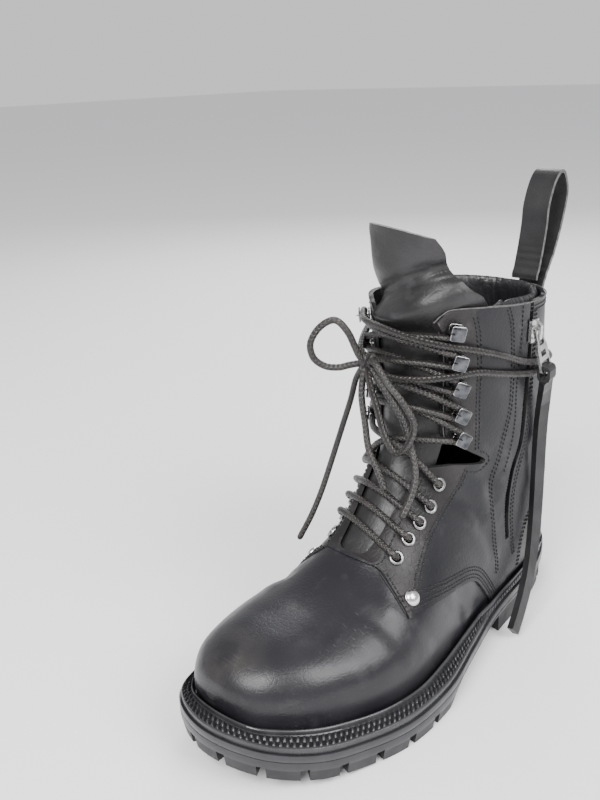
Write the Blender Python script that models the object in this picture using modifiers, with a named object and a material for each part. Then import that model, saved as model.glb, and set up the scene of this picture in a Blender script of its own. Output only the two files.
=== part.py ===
"""A left combat boot with a side zip, laces, speed hooks and a lugged sole.

Metres. The toe points to -Y, the flank with the zip is +X, the floor is z = 0.
Places on the upper are given as seen from the side: a share of LENGTH from the middle
of the sole, and a share of UPPER_HEIGHT above the welt.
"""

import math

import bmesh
import bpy
import numpy as np
from mathutils import Matrix, Vector

# Driving sizes of the boot.
LENGTH = 0.310
BALL = 0.121
COLLAR = 0.217
HEEL = 0.025
FORE = 0.020
SPRING = 0.013
UPPER_HEIGHT = COLLAR - HEEL
GAP = 0.0003

# Leather: the wall, the quarters that lie on it, the flap that lies on them before the zip.
WALL = 0.0015
QUARTER = 0.0010
FLAP = 0.0005

# Sole, top to bottom.
WELT = 0.0035
BEAD_HIGH = 0.0026
BEAD_WIDE = 0.0024
MIDSOLE = 0.0042
ARCH = 0.0105
HEEL_BLOCK = 0.0115
LUG = 0.0075
LUG_GROOVE = 0.0048
LUG_DEPTH = 0.016
BULGE = 0.0014
INSOLE = 0.0030
BREAST = 0.046

# Fittings.
EYELET_BORE = 0.0022
EYELET_TUBE = 0.0007
EYELET_RIM = 0.0043
EYELET_RIM_HIGH = 0.0011
HOLE_PLAY = 0.0003
RIVET = 0.0045
RIVET_HIGH = 0.0026
HOOK_PLATE = 0.0086
HOOK_SHEET = 0.0010
HOOK_THROAT = 0.0047
CORD = 0.0040
TONGUE = 0.0020
PAD_OUT = 0.0031
PAD_THICK = 0.0064
PAD_LOW = 0.026
PAD_HIGH = 0.003
LOOP_WIDTH = 0.018
LOOP_X = 0.0090
LOOP_STRAP = 0.0022
LOOP_BACK = 0.42
SLOT = 0.0052
TAPE = 0.0008
TAPE_WIDE = 0.0085
TEETH = 0.0038
SLIDER_WIDE = 0.0090
SLIDER_LONG = 0.0140
SLIDER_BODY = 0.0019
SLIDER_ARCH = 0.0030
TAB_WIDE = 0.0120
TAB_LONG = 0.0275
TAB_SHEET = 0.0016
TAB_TILT = 12.5
TAB_SWING = 8.0
SLIDER_TURN = 10.0
STRAP_WIDE = 0.0084
STRAP_THICK = 0.0040
STRAP_EYE = 0.0064

# How finely the curved pieces are cut, and how far a flat facet may stray from its curve.
SOLE_POINTS = 52
LAST_RINGS = 25
LAST_POINTS = 28
FACET = 0.0007

# The last, a row per ring. Each ring runs from a point on the instep or shin (top) to one
# on the sole or heel (back); its flanks bulge outer and inner from the middle plane, widest
# at the share wide of the way down, with superellipse powers round_top and round_low.
LAST = [
    # name, top_y, top_z, back_y, back_z, outer, inner, middle, wide, round_top, round_low
    ("tip", -0.463, 0.052, -0.463, 0.032, 0.025, 0.025, -0.074, 0.50, 2.0, 2.0),
    ("toe_1", -0.457, 0.095, -0.458, 0.00, 0.116, 0.104, -0.074, 0.52, 2.1, 2.6),
    ("toe_2", -0.438, 0.136, -0.444, -0.035, 0.22, 0.175, -0.074, 0.58, 2.2, 3.6),
    ("toe_3", -0.404, 0.172, -0.41, -0.04, 0.305, 0.25, -0.07, 0.62, 2.3, 5.0),
    ("toe_4", -0.358, 0.20, -0.365, -0.045, 0.375, 0.305, -0.06, 0.62, 2.3, 6.0),
    ("cap", -0.303, 0.22, -0.31, -0.045, 0.425, 0.35, -0.05, 0.62, 2.25, 6.0),
    ("ball", -0.245, 0.24, -0.242, -0.045, 0.463, 0.375, -0.033, 0.64, 2.2, 6.0),
    ("vamp", -0.194, 0.267, -0.16, -0.045, 0.475, 0.365, -0.017, 0.68, 2.15, 6.0),
    ("waist_1", -0.150, 0.31, -0.07, -0.045, 0.445, 0.34, -0.008, 0.70, 2.1, 6.0),
    ("waist_2", -0.110, 0.372, 0.032, -0.05, 0.40, 0.30, 0.0, 0.70, 2.05, 6.0),
    ("instep", -0.072, 0.44, 0.142, -0.05, 0.365, 0.30, 0.0, 0.68, 2.0, 5.5),
    ("seat_1", -0.045, 0.50, 0.258, -0.05, 0.345, 0.30, 0.0, 0.64, 2.0, 5.0),
    ("seat_2", -0.024, 0.55, 0.355, -0.05, 0.33, 0.305, 0.0, 0.60, 2.0, 4.2),
    ("heel", -0.008, 0.60, 0.435, -0.05, 0.32, 0.31, 0.0, 0.56, 2.1, 3.2),
    ("counter_1", 0.002, 0.65, 0.461, 0.07, 0.318, 0.314, 0.0, 0.53, 2.15, 2.6),
    ("counter_2", 0.009, 0.705, 0.469, 0.19, 0.322, 0.322, 0.0, 0.51, 2.2, 2.4),
    ("ankle", 0.013, 0.763, 0.461, 0.32, 0.326, 0.33, 0.0, 0.50, 2.2, 2.3),
    ("shaft_1", 0.015, 0.82, 0.447, 0.455, 0.33, 0.34, 0.0, 0.50, 2.25, 2.3),
    ("shaft_2", 0.014, 0.88, 0.432, 0.595, 0.333, 0.345, 0.0, 0.50, 2.3, 2.3),
    ("shaft_3", 0.012, 0.94, 0.420, 0.745, 0.333, 0.35, 0.0, 0.50, 2.3, 2.3),
    ("collar", 0.008, 1.014, 0.408, 0.943, 0.335, 0.355, 0.0, 0.50, 2.3, 2.3),
]

# The sole seen from above, a row per cross line: places along LENGTH, half widths of BALL.
SOLE = [
    # name, along, outer, inner
    ("heel_tip", 0.50, 0.0, 0.0),
    ("heel_1", 0.47, 0.156, 0.166),
    ("heel_2", 0.42, 0.247, 0.266),
    ("heel_3", 0.35, 0.320, 0.322),
    ("seat", 0.25, 0.364, 0.340),
    ("waist_1", 0.12, 0.405, 0.346),
    ("waist_2", 0.0, 0.474, 0.352),
    ("ball_1", -0.12, 0.540, 0.418),
    ("ball_2", -0.22, 0.542, 0.455),
    ("toe_1", -0.32, 0.480, 0.432),
    ("toe_2", -0.40, 0.403, 0.374),
    ("toe_3", -0.46, 0.274, 0.288),
    ("toe_tip", -0.50, -0.049, 0.049),
]

# Lines on the upper, seen from the side.
FACING_EDGE = [
    (-0.142, 0.316), (-0.130, 0.322), (-0.113, 0.344), (-0.084, 0.385), (-0.060, 0.420),
    (-0.025, 0.473), (0.009, 0.526),
]
ANKLE_NOTCH = [(0.057, 0.513), (0.120, 0.484), (0.131, 0.488), (0.128, 0.499), (0.099, 0.533)]
SHAFT_EDGE = [(0.059, 0.583), (0.047, 0.612), (0.047, 0.72), (0.043, 0.85), (0.034, 0.94)]
COLLAR_EDGE = [
    (0.028, 0.968), (0.036, 0.990), (0.053, 1.002), (0.12, 0.985), (0.203, 0.962),
    (0.30, 0.948), (0.408, 0.9385), (0.60, 0.935),
]
QUARTER_EDGE = [
    (-0.151, 0.202), (-0.087, 0.194), (-0.021, 0.176), (0.035, 0.158), (0.068, 0.132),
    (0.091, 0.090), (0.112, 0.04), (0.129, 0.0), (0.15, -0.12),
]
QUARTER_FRONT = [(-0.143, 0.270), (-0.138, 0.300)]
ZIP_LINE = [
    (0.241, 1.05), (0.238, 0.90), (0.237, 0.805), (0.234, 0.641), (0.231, 0.504),
    (0.208, 0.411), (0.196, 0.311), (0.191, 0.171), (0.198, 0.092), (0.176, -0.12),
]
ZIP_TOP = 0.93
ZIP_FOOT = 0.17

# Fittings on the upper, the same on both flanks.
EYELETS = [(-0.104, 0.320), (-0.069, 0.356), (-0.037, 0.387), (-0.006, 0.419), (0.025, 0.468)]
HOOKS = [(0.072, 0.600), (0.070, 0.678), (0.066, 0.765), (0.060, 0.849), (0.054, 0.940)]
RIVET_AT = (-0.122, 0.233)
SLIDER_AT = 0.865

# The tongue, a row per station up to the collar: place up the last's rings, half width.
TONGUE_LOW = [
    # name, ring, half_width
    ("foot", 7.0, 0.017),
    ("throat", 7.7, 0.021),
    ("row_2", 8.6, 0.025),
    ("row_4", 9.8, 0.028),
    ("instep", 10.6, 0.029),
    ("notch_1", 11.4, 0.030),
    ("notch_2", 12.3, 0.031),
    ("notch_3", 13.3, 0.032),
    ("ankle", 15.0, 0.034),
    ("shaft", 16.6, 0.038),
    ("gusset", 18.2, 0.046),
    ("wing", 19.7, 0.058),
]

# Above the collar: rise over it, half width, how far the middle leans back, and how far
# the inner edge comes forward.
TONGUE_HIGH = [
    # name, rise, half_width, back, inner_forward
    ("collar", 0.004, 0.052, 0.0005, 0.0),
    ("neck", 0.011, 0.041, 0.0012, 0.001),
    ("flare_1", 0.019, 0.034, 0.002, 0.003),
    ("flare_2", 0.029, 0.030, 0.003, 0.005),
    ("flare_3", 0.038, 0.028, 0.004, 0.007),
    ("top", 0.044, 0.023, 0.004, 0.008),
]

# Middle line of the pull loop's strap, seen from the side: along +Y from LOOP_BACK of the
# length, and up from the collar.
LOOP_LINE = [
    (0.0010, -0.0330), (0.0012, -0.0210), (0.0055, -0.0090), (0.0150, 0.0060),
    (0.0240, 0.0270), (0.0278, 0.0430), (0.0235, 0.0545), (0.0175, 0.0562),
    (0.0105, 0.0500), (0.0046, 0.0370), (0.0032, 0.0250), (0.0005, 0.0120),
    (-0.0028, 0.0000), (-0.0062, -0.0085),
]

# The strap that hangs from the zip's tab and falls over the welt to the floor.
STRAP_LINE = [
    (0.0492, 0.0865, 0.1560), (0.0455, 0.0905, 0.146), (0.0435, 0.0925, 0.128),
    (0.0432, 0.0930, 0.100), (0.0438, 0.0925, 0.072), (0.0465, 0.0865, 0.048),
    (0.0515, 0.0735, 0.031), (0.0560, 0.0580, 0.0175), (0.0590, 0.0440, 0.0065),
]

# The lace beyond the hooks: two turns round the ankle, then the free cords as points in the
# boot's own axes.
TURN_1 = [
    # side, along, up, lift over the leather
    (-1, 0.040, 0.965, 0.0040), (-1, 0.020, 0.955, 0.0045), (1, 0.014, 0.940, 0.0040),
    (1, 0.026, 0.918, 0.0045), (1, 0.052, 0.896, 0.0012), (1, 0.121, 0.848, 0.0),
    (1, 0.219, 0.778, 0.0), (1, 0.34, 0.735, 0.0), (1, 0.43, 0.715, 0.0), (-1, 0.43, 0.715, 0.0),
    (-1, 0.34, 0.735, 0.0), (-1, 0.219, 0.79, 0.0), (-1, 0.121, 0.855, 0.0),
    (-1, 0.070, 0.892, 0.0),
]
TURN_2 = [
    (-1, 0.018, 0.800, 0.0050), (1, 0.014, 0.802, 0.0055), (1, 0.028, 0.809, 0.0058),
    (1, 0.056, 0.811, 0.0022), (1, 0.085, 0.806, 0.0002), (1, 0.131, 0.782, 0.0),
    (1, 0.221, 0.740, 0.0),
    (1, 0.34, 0.70, 0.0), (1, 0.43, 0.68, 0.0), (-1, 0.43, 0.68, 0.0), (-1, 0.34, 0.70, 0.0),
    (-1, 0.219, 0.745, 0.0), (-1, 0.121, 0.785, 0.0), (-1, 0.072, 0.803, 0.0),
]
KNOT_AT = (-0.0150, -0.0050, 0.1820)
KNOT_SIZE = (0.0062, 0.0046, 0.0058)
LOOP_OUT = [
    (-0.0186, -0.0086, 0.1859), (-0.023, -0.013, 0.200), (-0.029, -0.017, 0.207),
    (-0.036, -0.022, 0.203), (-0.040, -0.026, 0.194), (-0.039, -0.025, 0.185),
    (-0.035, -0.020, 0.1795), (-0.029, -0.015, 0.1785), (-0.0235, -0.0105, 0.1800),
]
LOOP_DOWN = [
    (-0.0065, -0.0105, 0.1850), (0.000, -0.0125, 0.1810), (0.006, -0.013, 0.1750),
    (0.015, -0.012, 0.166), (0.021, -0.010, 0.154), (0.019, -0.013, 0.142),
    (0.013, -0.016, 0.137), (0.006, -0.017, 0.146), (0.000, -0.016, 0.160),
    (-0.0085, -0.0125, 0.1745),
]
END_NEAR = [
    (-0.0092, -0.0084, 0.1785), (0.001, -0.0090, 0.168), (0.010, -0.007, 0.155),
    (0.016, -0.008, 0.144), (0.021, -0.010, 0.134), (0.0245, -0.013, 0.124),
    (0.026, -0.019, 0.115), (0.026, -0.028, 0.105),
]
END_MIDDLE = [
    (-0.0144, -0.0094, 0.1782), (-0.012, -0.015, 0.166), (-0.008, -0.017, 0.150),
    (-0.003, -0.020, 0.136), (0.006, -0.023, 0.126), (0.014, -0.027, 0.118),
]
END_FAR = [
    (-0.0202, -0.0033, 0.1781), (-0.027, -0.002, 0.168), (-0.032, -0.001, 0.154),
    (-0.036, -0.005, 0.136), (-0.038, -0.012, 0.118), (-0.039, -0.021, 0.100),
    (-0.041, -0.029, 0.085), (-0.045, -0.037, 0.070),
]

for leftover in list(bpy.data.objects):
    bpy.data.objects.remove(leftover, do_unlink=True)
PIECES = bpy.data.collections.new("combat_boot")
CUTTERS = bpy.data.collections.new("cutters")
bpy.context.scene.collection.children.link(PIECES)
bpy.context.scene.collection.children.link(CUTTERS)
BOOT = bpy.data.objects.new("boot_frame", None)
PIECES.objects.link(BOOT)


def material(name, colour, roughness, metallic=0.0):
    """A plain Principled material."""
    made = bpy.data.materials.new(name)
    made.use_nodes = True
    shader = made.node_tree.nodes["Principled BSDF"]
    shader.inputs["Base Color"].default_value = (*colour, 1.0)
    shader.inputs["Roughness"].default_value = roughness
    shader.inputs["Metallic"].default_value = metallic
    made.diffuse_color = (*colour, 1.0)
    return made


LEATHER = material("black_leather", (0.028, 0.028, 0.034), 0.45)
TONGUE_LEATHER = material("tongue_leather", (0.060, 0.055, 0.055), 0.55)
LINING = material("padded_lining", (0.030, 0.030, 0.034), 0.60)
STRAP_LEATHER = material("strap_leather", (0.040, 0.038, 0.040), 0.50)
RUBBER = material("black_rubber", (0.032, 0.032, 0.036), 0.55)
WELT_RUBBER = material("welt_rubber", (0.045, 0.045, 0.050), 0.40)
BOARD = material("insole_board", (0.22, 0.16, 0.11), 0.80)
NICKEL = material("nickel", (0.62, 0.62, 0.64), 0.25, 1.0)
GUNMETAL = material("gunmetal", (0.20, 0.20, 0.22), 0.30, 1.0)
TAPE_CLOTH = material("zip_tape_cloth", (0.020, 0.020, 0.022), 0.85)
LACE = material("waxed_lace", (0.085, 0.075, 0.068), 0.55)


def keep(thing, finish):
    """File an object under the boot, in its own place, with its material."""
    if finish is None:
        CUTTERS.objects.link(thing)
        thing.hide_render = True
        thing.display_type = "WIRE"
    else:
        PIECES.objects.link(thing)
        thing.data.materials.append(finish)
    thing.parent = BOOT
    return thing


def body(name, vertices, faces, finish=None):
    """An object from points and faces, welded, with its faces turned outwards."""
    mesh = bpy.data.meshes.new(name)
    mesh.from_pydata([tuple(vertex) for vertex in vertices], [], faces)
    shape = bmesh.new()
    shape.from_mesh(mesh)
    bmesh.ops.remove_doubles(shape, verts=shape.verts, dist=1e-6)
    bmesh.ops.dissolve_degenerate(shape, dist=1e-6, edges=shape.edges)
    bmesh.ops.recalc_face_normals(shape, faces=shape.faces)
    shape.to_mesh(mesh)
    shape.free()
    return keep(bpy.data.objects.new(name, mesh), finish)


def loft(name, rings, finish=None, closed=False):
    """A skin over a row of like rings, capped at both ends or closed on itself."""
    rings = np.asarray(rings)
    count, sides = rings.shape[:2]
    faces = []
    for i in range(count if closed else count - 1):
        for j in range(sides):
            after = (i + 1) % count
            turn = (j + 1) % sides
            faces.append((i * sides + j, i * sides + turn, after * sides + turn, after * sides + j))
    if not closed:
        faces.append(tuple(range(sides)))
        faces.append(tuple(range((count - 1) * sides, count * sides)))
    return body(name, rings.reshape(-1, 3), faces, finish)


def prism(name, outline, low, high, finish=None):
    """A side outline in Y and Z, drawn out along X from low to high."""
    rings = [[(x, y, z) for y, z in outline] for x in (low, high)]
    return loft(name, rings, finish)


def box(name, size, place, finish=None):
    """A box of a size, set by a matrix."""
    mesh = bpy.data.meshes.new(name)
    shape = bmesh.new()
    bmesh.ops.create_cube(shape, size=1.0)
    bmesh.ops.scale(shape, vec=size, verts=shape.verts)
    shape.to_mesh(mesh)
    shape.free()
    made = keep(bpy.data.objects.new(name, mesh), finish)
    made.matrix_world = place
    return made


def boxes(name, sizes, places):
    """Boxes that don't touch, as one cutter."""
    mesh = bpy.data.meshes.new(name)
    shape = bmesh.new()
    for size, place in zip(sizes, places):
        bmesh.ops.create_cube(shape, size=1.0, matrix=place @ Matrix.Diagonal((*size, 1.0)))
    shape.to_mesh(mesh)
    shape.free()
    return keep(bpy.data.objects.new(name, mesh), None)


def rods(name, radius, length, places):
    """Round cutters that don't touch, each along its place's Z."""
    mesh = bpy.data.meshes.new(name)
    shape = bmesh.new()
    for place in places:
        bmesh.ops.create_cone(
            shape, cap_ends=True, segments=8, radius1=radius, radius2=radius, depth=length,
            matrix=place,
        )
    shape.to_mesh(mesh)
    shape.free()
    return keep(bpy.data.objects.new(name, mesh), None)


def turned(name, profile, place, finish, steps=10):
    """A profile of radius and height, turned about its own Z."""
    mesh = bpy.data.meshes.new(name)
    edges = [(i, i + 1) for i in range(len(profile) - 1)]
    if profile[0][0] > 0.0:
        edges.append((len(profile) - 1, 0))
    mesh.from_pydata([(radius, 0.0, height) for radius, height in profile], edges, [])
    made = bpy.data.objects.new(name, mesh)
    screw = made.modifiers.new("turn", "SCREW")
    screw.axis = "Z"
    screw.angle = 2.0 * math.pi
    screw.screw_offset = 0.0
    screw.steps = steps
    screw.render_steps = steps
    screw.use_merge_vertices = True
    screw.merge_threshold = 0.00001
    screw.use_smooth_shade = True
    keep(made, finish)
    made.matrix_world = place
    return made


def flat(name, outlines, thickness, place, finish):
    """Flat outlines, the later ones holes, with a thickness about the place's own Z."""
    shape = bpy.data.curves.new(name, "CURVE")
    shape.dimensions = "2D"
    shape.fill_mode = "BOTH"
    shape.extrude = thickness / 2.0
    for outline in outlines:
        spline = shape.splines.new("POLY")
        spline.points.add(len(outline) - 1)
        for point, (x, y) in zip(spline.points, outline):
            point.co = (x, y, 0.0, 1.0)
        spline.use_cyclic_u = True
    made = bpy.data.objects.new(name, shape)
    keep(made, finish)
    made.matrix_world = place
    return made


def solid(thing):
    """A curve object turned into a welded mesh, so that it can be cut and joined."""
    bpy.context.view_layer.update()
    shown = thing.evaluated_get(bpy.context.evaluated_depsgraph_get())
    mesh = bpy.data.meshes.new_from_object(shown)
    shape = bmesh.new()
    shape.from_mesh(mesh)
    bmesh.ops.remove_doubles(shape, verts=shape.verts, dist=1e-6)
    bmesh.ops.recalc_face_normals(shape, faces=shape.faces)
    shape.to_mesh(mesh)
    shape.free()
    made = bpy.data.objects.new(thing.name, mesh)
    place = thing.matrix_world.copy()
    home = thing.users_collection[0]
    name = thing.name
    bpy.data.objects.remove(thing, do_unlink=True)
    made.name = name
    home.objects.link(made)
    made.parent = BOOT
    made.hide_render = home is CUTTERS
    made.display_type = "WIRE" if home is CUTTERS else "TEXTURED"
    made.matrix_world = place
    return made


def combine(thing, other, way, solver="EXACT"):
    """Boolean other into thing: UNION, DIFFERENCE or INTERSECT."""
    change = thing.modifiers.new(way.lower() + "_" + other.name, "BOOLEAN")
    change.operation = way
    change.solver = solver
    change.object = other
    return thing


def sole_top(y):
    """Height of the welt's top: level heel, a drop through the waist, toe spring."""
    share = np.asarray(y) / LENGTH
    drop = np.clip((share + 0.12) / 0.32, 0.0, 1.0)
    heel = (HEEL - FORE) * drop * drop * (3.0 - 2.0 * drop)
    return FORE + heel + SPRING * np.maximum(0.0, (-0.22 - share) / 0.28) ** 1.8


def from_side(place):
    """Y and Z of a place given as shares."""
    y = place[0] * LENGTH
    return (y, float(sole_top(y)) + place[1] * UPPER_HEIGHT)


def through(values, place):
    """A smooth curve through rows of values, read at places counted in rows."""
    rows = np.asarray(values, float)
    rows = rows.reshape(len(rows), -1)
    before = 2 * rows[0] - rows[1]
    after = 2 * rows[-1] - rows[-2]
    rows = np.vstack([before, rows, after, 3 * rows[-1] - 2 * rows[-2]])
    place = np.asarray(place, float)
    start = np.minimum(np.floor(place).astype(int), len(rows) - 4)
    part = (place - start)[:, None]
    a, b, c, d = (rows[start + step] for step in range(4))
    curve = 2 * a - 5 * b + 4 * c - d
    return 0.5 * (2 * b + (c - a) * part + curve * part**2 + (3 * b - a - 3 * c + d) * part**3)


def smooth_line(points, count):
    """Evenly spaced points on a smooth curve through a few points."""
    fine = through(points, np.linspace(0.0, len(points) - 1.0, 24 * len(points)))
    return spread(fine, count)


def spread(points, count):
    """A polyline's points, spread evenly."""
    points = np.asarray(points)
    steps = np.linalg.norm(np.diff(points, axis=0), axis=1)
    length = np.r_[0.0, np.cumsum(steps)]
    even = np.linspace(0.0, length[-1], count)
    return np.stack([np.interp(even, length, column) for column in points.T], axis=1)


def last_grid(place, points, grow=0.0):
    """The last's skin at rings counted in LAST's rows, moved out by grow, and its normals."""
    rows = through([row[1:] for row in LAST], place)
    angle = np.linspace(0.0, math.pi, 181)
    fall = np.abs(np.cos(angle))
    swell = np.clip(np.sin(angle), 0.0, 1.0)
    low = angle > math.pi / 2.0
    grid = []
    for top_y, top_z, back_y, back_z, outer, inner, middle, wide, round_top, round_low in rows:
        top = np.array([0.0, *from_side((top_y, top_z))])
        back = np.array([0.0, *from_side((back_y, back_z))])
        height = np.linalg.norm(back - top)
        power = np.where(low, round_low, round_top)
        down = np.where(
            low,
            wide * height + (1.0 - wide) * height * fall ** (2.0 / power),
            wide * height * (1.0 - fall ** (2.0 / power)),
        )
        flanks = []
        for width, side in ((max(outer, 0.01), 1.0), (max(inner, 0.01), -1.0)):
            reach = width * BALL * swell ** (2.0 / power)
            flank = np.stack([middle * BALL + side * reach, down], axis=1)
            flanks.append(spread(flank, points // 2 + 1))
        ring = np.vstack([flanks[0], flanks[1][-2:0:-1]])
        along = (back - top) / height
        skin = top + ring[:, 1:2] * along
        skin[:, 0] = ring[:, 0]
        grid.append(skin)
    grid = np.array(grid)
    across = np.roll(grid, -1, axis=1) - np.roll(grid, 1, axis=1)
    normal = np.cross(across, np.gradient(grid, axis=0))
    normal /= np.maximum(np.linalg.norm(normal, axis=2, keepdims=True), 1e-12)
    if ((grid - grid.mean(axis=1, keepdims=True)) * normal).sum() < 0.0:
        normal = -normal
    return grid + grow * normal, normal


# A fine copy of the skin, for placing things on it.
FINE = 240
STEP = 10
SKIN, NORMAL = last_grid(np.arange(0.0, 20.61, 1.0 / STEP), FINE)


def read_grid(grid, ring, roll):
    """A grid's value between its points; roll counts columns from the front, inner < 0."""
    i = min(max(int(math.floor(ring)), 0), len(grid) - 2)
    j = int(math.floor(roll))
    up = ring - i
    on = roll - j
    near = grid[i, j % FINE] * (1.0 - on) + grid[i, (j + 1) % FINE] * on
    far = grid[i + 1, j % FINE] * (1.0 - on) + grid[i + 1, (j + 1) % FINE] * on
    return near * (1.0 - up) + far * up


def point_at(ring, roll, grow=0.0):
    """A point over the skin, and the way out of it."""
    out = read_grid(NORMAL, ring, roll)
    out = out / np.linalg.norm(out)
    return read_grid(SKIN, ring, roll) + grow * out, out


def find(place, side):
    """Ring and roll of a place seen from the side, on the outer (1) or inner (-1) flank."""
    y, z = from_side(place)
    half = FINE // 2
    columns = np.arange(half + 1) if side > 0 else np.arange(FINE, half - 1, -1) % FINE
    flank = SKIN[:, columns]
    away = (flank[..., 1] - y) ** 2 + (flank[..., 2] - z) ** 2
    i, j = np.unravel_index(np.argmin(away), away.shape)
    i = int(np.clip(i, 1, len(flank) - 2))
    j = int(np.clip(j, 1, half - 1))
    up = (flank[i + 1, j] - flank[i - 1, j]) / 2.0
    on = (flank[i, j + 1] - flank[i, j - 1]) / 2.0
    short = [y - flank[i, j, 1], z - flank[i, j, 2]]
    step = np.linalg.solve([[up[1], on[1]], [up[2], on[2]]], short)
    step = np.clip(step, -1.0, 1.0)
    return i + step[0], side * (j + step[1])


def moved(ring, roll, distance):
    """Roll after a walk round the ring, away from the front where distance is positive."""
    side = 1.0 if roll >= 0.0 else -1.0
    near = read_grid(SKIN, ring, roll - 0.5 * side)
    far = read_grid(SKIN, ring, roll + 0.5 * side)
    return roll + side * distance / np.linalg.norm(far - near)


def frame_at(place, side, grow):
    """A matrix on the upper: X away from the front, Y along the skin, Z out of it."""
    ring, roll = find(place, side)
    spot, out = point_at(ring, roll, grow)
    back = read_grid(SKIN, ring, roll + side) - read_grid(SKIN, ring, roll - side)
    back -= out * np.dot(back, out)
    back /= np.linalg.norm(back)
    along = np.cross(out, back)
    turn = Matrix([(*axis, 0.0) for axis in (back, along, out)] + [(0.0, 0.0, 0.0, 1.0)])
    return Matrix.Translation(Vector(spot)) @ turn.transposed()


def skin_level(side):
    """How far the facing stands over the last's own skin."""
    return QUARTER + (FLAP if side > 0 else 0.0)


def halves(points, count):
    """A closed outline as even points: heel to toe on the outer side, back on the inner."""
    points = np.asarray(points)
    points = np.roll(points, -int(np.argmax(points[:, 1])), axis=0)
    toe = int(np.argmin(points[:, 1]))
    first = points[: toe + 1]
    second = np.vstack([points[toe:], points[:1]])
    if first[:, 0].mean() < second[:, 0].mean():
        first, second = second[::-1], first[::-1]
    return np.vstack([spread(first, count // 2 + 1)[:-1], spread(second, count // 2 + 1)[:-1]])


def smooth_loop(points, count):
    """A closed smooth curve through uneven points."""
    points = np.asarray(points, float)
    gap = np.linalg.norm(np.roll(points, -1, axis=0) - points, axis=1)[:, None]
    slope = (np.roll(points, -1, axis=0) - points) / gap
    before = np.roll(slope, 1, axis=0)
    gap_before = np.roll(gap, 1, axis=0)
    tangent = (slope * gap_before + before * gap) / (gap + gap_before)
    part = np.linspace(0.0, 1.0, 20, endpoint=False)[:, None]
    curve = []
    for i in range(len(points)):
        after = (i + 1) % len(points)
        curve.append(
            (2 * part**3 - 3 * part**2 + 1) * points[i]
            + (part**3 - 2 * part**2 + part) * tangent[i] * gap[i]
            + (3 * part**2 - 2 * part**3) * points[after]
            + (part**3 - part**2) * tangent[after] * gap[i]
        )
    return halves(np.vstack(curve), count)


def widened(ring, distance):
    """A closed outline moved outwards."""
    along = np.roll(ring, -1, axis=0) - np.roll(ring, 1, axis=0)
    out = np.stack([along[:, 1], -along[:, 0]], axis=1)
    out /= np.linalg.norm(out, axis=1, keepdims=True)
    if (out * (ring - ring.mean(axis=0))).sum() < 0.0:
        out = -out
    return ring + out * distance


def sole_outline(count):
    """The sole's outline from SOLE's rows."""
    outer = [(row[2] * BALL, row[1] * LENGTH) for row in SOLE]
    inner = [(-row[3] * BALL, row[1] * LENGTH) for row in SOLE[1:-1]]
    return smooth_loop(outer + inner[::-1], count)


def feather(depth, count, grow=0.0):
    """Where the last's skin crosses a height under the welt's top."""
    grid, _ = last_grid(np.linspace(0.0, 14.5, 146), 160, grow)
    over = grid[..., 2] - sole_top(grid[..., 1]) + depth
    found = []
    for axis in (0, 1):
        after = np.roll(grid, -1, axis=axis)
        other = np.roll(over, -1, axis=axis)
        crossed = over * other < 0.0
        if axis == 0:
            crossed[-1] = False
        part = (over[crossed] / (over[crossed] - other[crossed]))[:, None]
        found.append((grid[crossed] + (after[crossed] - grid[crossed]) * part)[:, :2])
    points = np.vstack(found)
    turn = np.arctan2(points[:, 1], points[:, 0])
    return halves(points[np.argsort(turn)], count)


def upper_foot(depth, count):
    """The upper's own outline at a height under the welt's top, with the quarters' step."""
    vamp = feather(depth, count)
    quarters = feather(depth, count, QUARTER + FLAP)
    start = QUARTER_EDGE[-3][0] * LENGTH
    part = np.clip((vamp[:, 1:] - start + 0.012) / 0.012, 0.0, 1.0)
    return vamp + (quarters - vamp) * part


def slab(name, levels, finish=None, across=3):
    """A solid between outlines at heights, top level first, netted on top and below."""
    count = len(levels[0][0])
    half = count // 2
    vertices = []
    faces = []

    def net(ring, height):
        """Points of a level that is closed by faces."""
        start = len(vertices)
        for i in range(half + 1):
            left = ring[i]
            right = ring[-i % count]
            for j in range(across + 1):
                x, y = left + (right - left) * j / across
                vertices.append((x, y, height(y)))
        return start

    def rim(start):
        """Numbers of the outer points of such a level, in the outline's order."""
        out = [start + i * (across + 1) for i in range(half + 1)]
        back = [start + i * (across + 1) + across for i in range(half - 1, 0, -1)]
        return out + back

    rims = []
    for ring, height in levels:
        if height is levels[0][1] or height is levels[-1][1]:
            start = net(ring, height)
            for i in range(half):
                for j in range(across):
                    corner = start + i * (across + 1) + j
                    faces.append((corner, corner + 1, corner + across + 2, corner + across + 1))
            rims.append(rim(start))
        else:
            start = len(vertices)
            vertices.extend((x, y, height(y)) for x, y in ring)
            rims.append(list(range(start, start + count)))
    for upper, lower in zip(rims, rims[1:]):
        for i in range(count):
            after = (i + 1) % count
            faces.append((upper[i], upper[after], lower[after], lower[i]))
    return body(name, vertices, faces, finish)


def tread(y):
    """Height of the forefoot's tread: flat at the ball, then toe spring."""
    share = y / LENGTH
    return float(SPRING * max(0.0, (-0.22 - share) / 0.28) ** 1.8)


def midsole_top(y):
    """Height of the midsole's upper face."""
    return float(sole_top(y)) - WELT - GAP


def midsole_foot(y):
    """Height of the midsole's lower face."""
    return midsole_top(y) - MIDSOLE


def outsole_top(y):
    """Height of the outsole's upper face."""
    return midsole_foot(y) - GAP


def outsole_foot(y):
    """Tread under the forefoot, then up to the arch and level over the heel block."""
    share = y / LENGTH
    up = min(max((share + 0.105) / 0.05, 0.0), 1.0)
    arch = min(float(sole_top(y)) - ARCH, HEEL_BLOCK + GAP + 0.0006)
    seat = HEEL_BLOCK + GAP
    to_heel = min(max((share - 0.05) / 0.08, 0.0), 1.0)
    return tread(y) * (1.0 - up) + (arch + (seat - arch) * to_heel) * up


def outsole_band(y):
    """Lower edge of the smooth side band."""
    return outsole_top(y) + (outsole_foot(y) - outsole_top(y)) * 0.42


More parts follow.
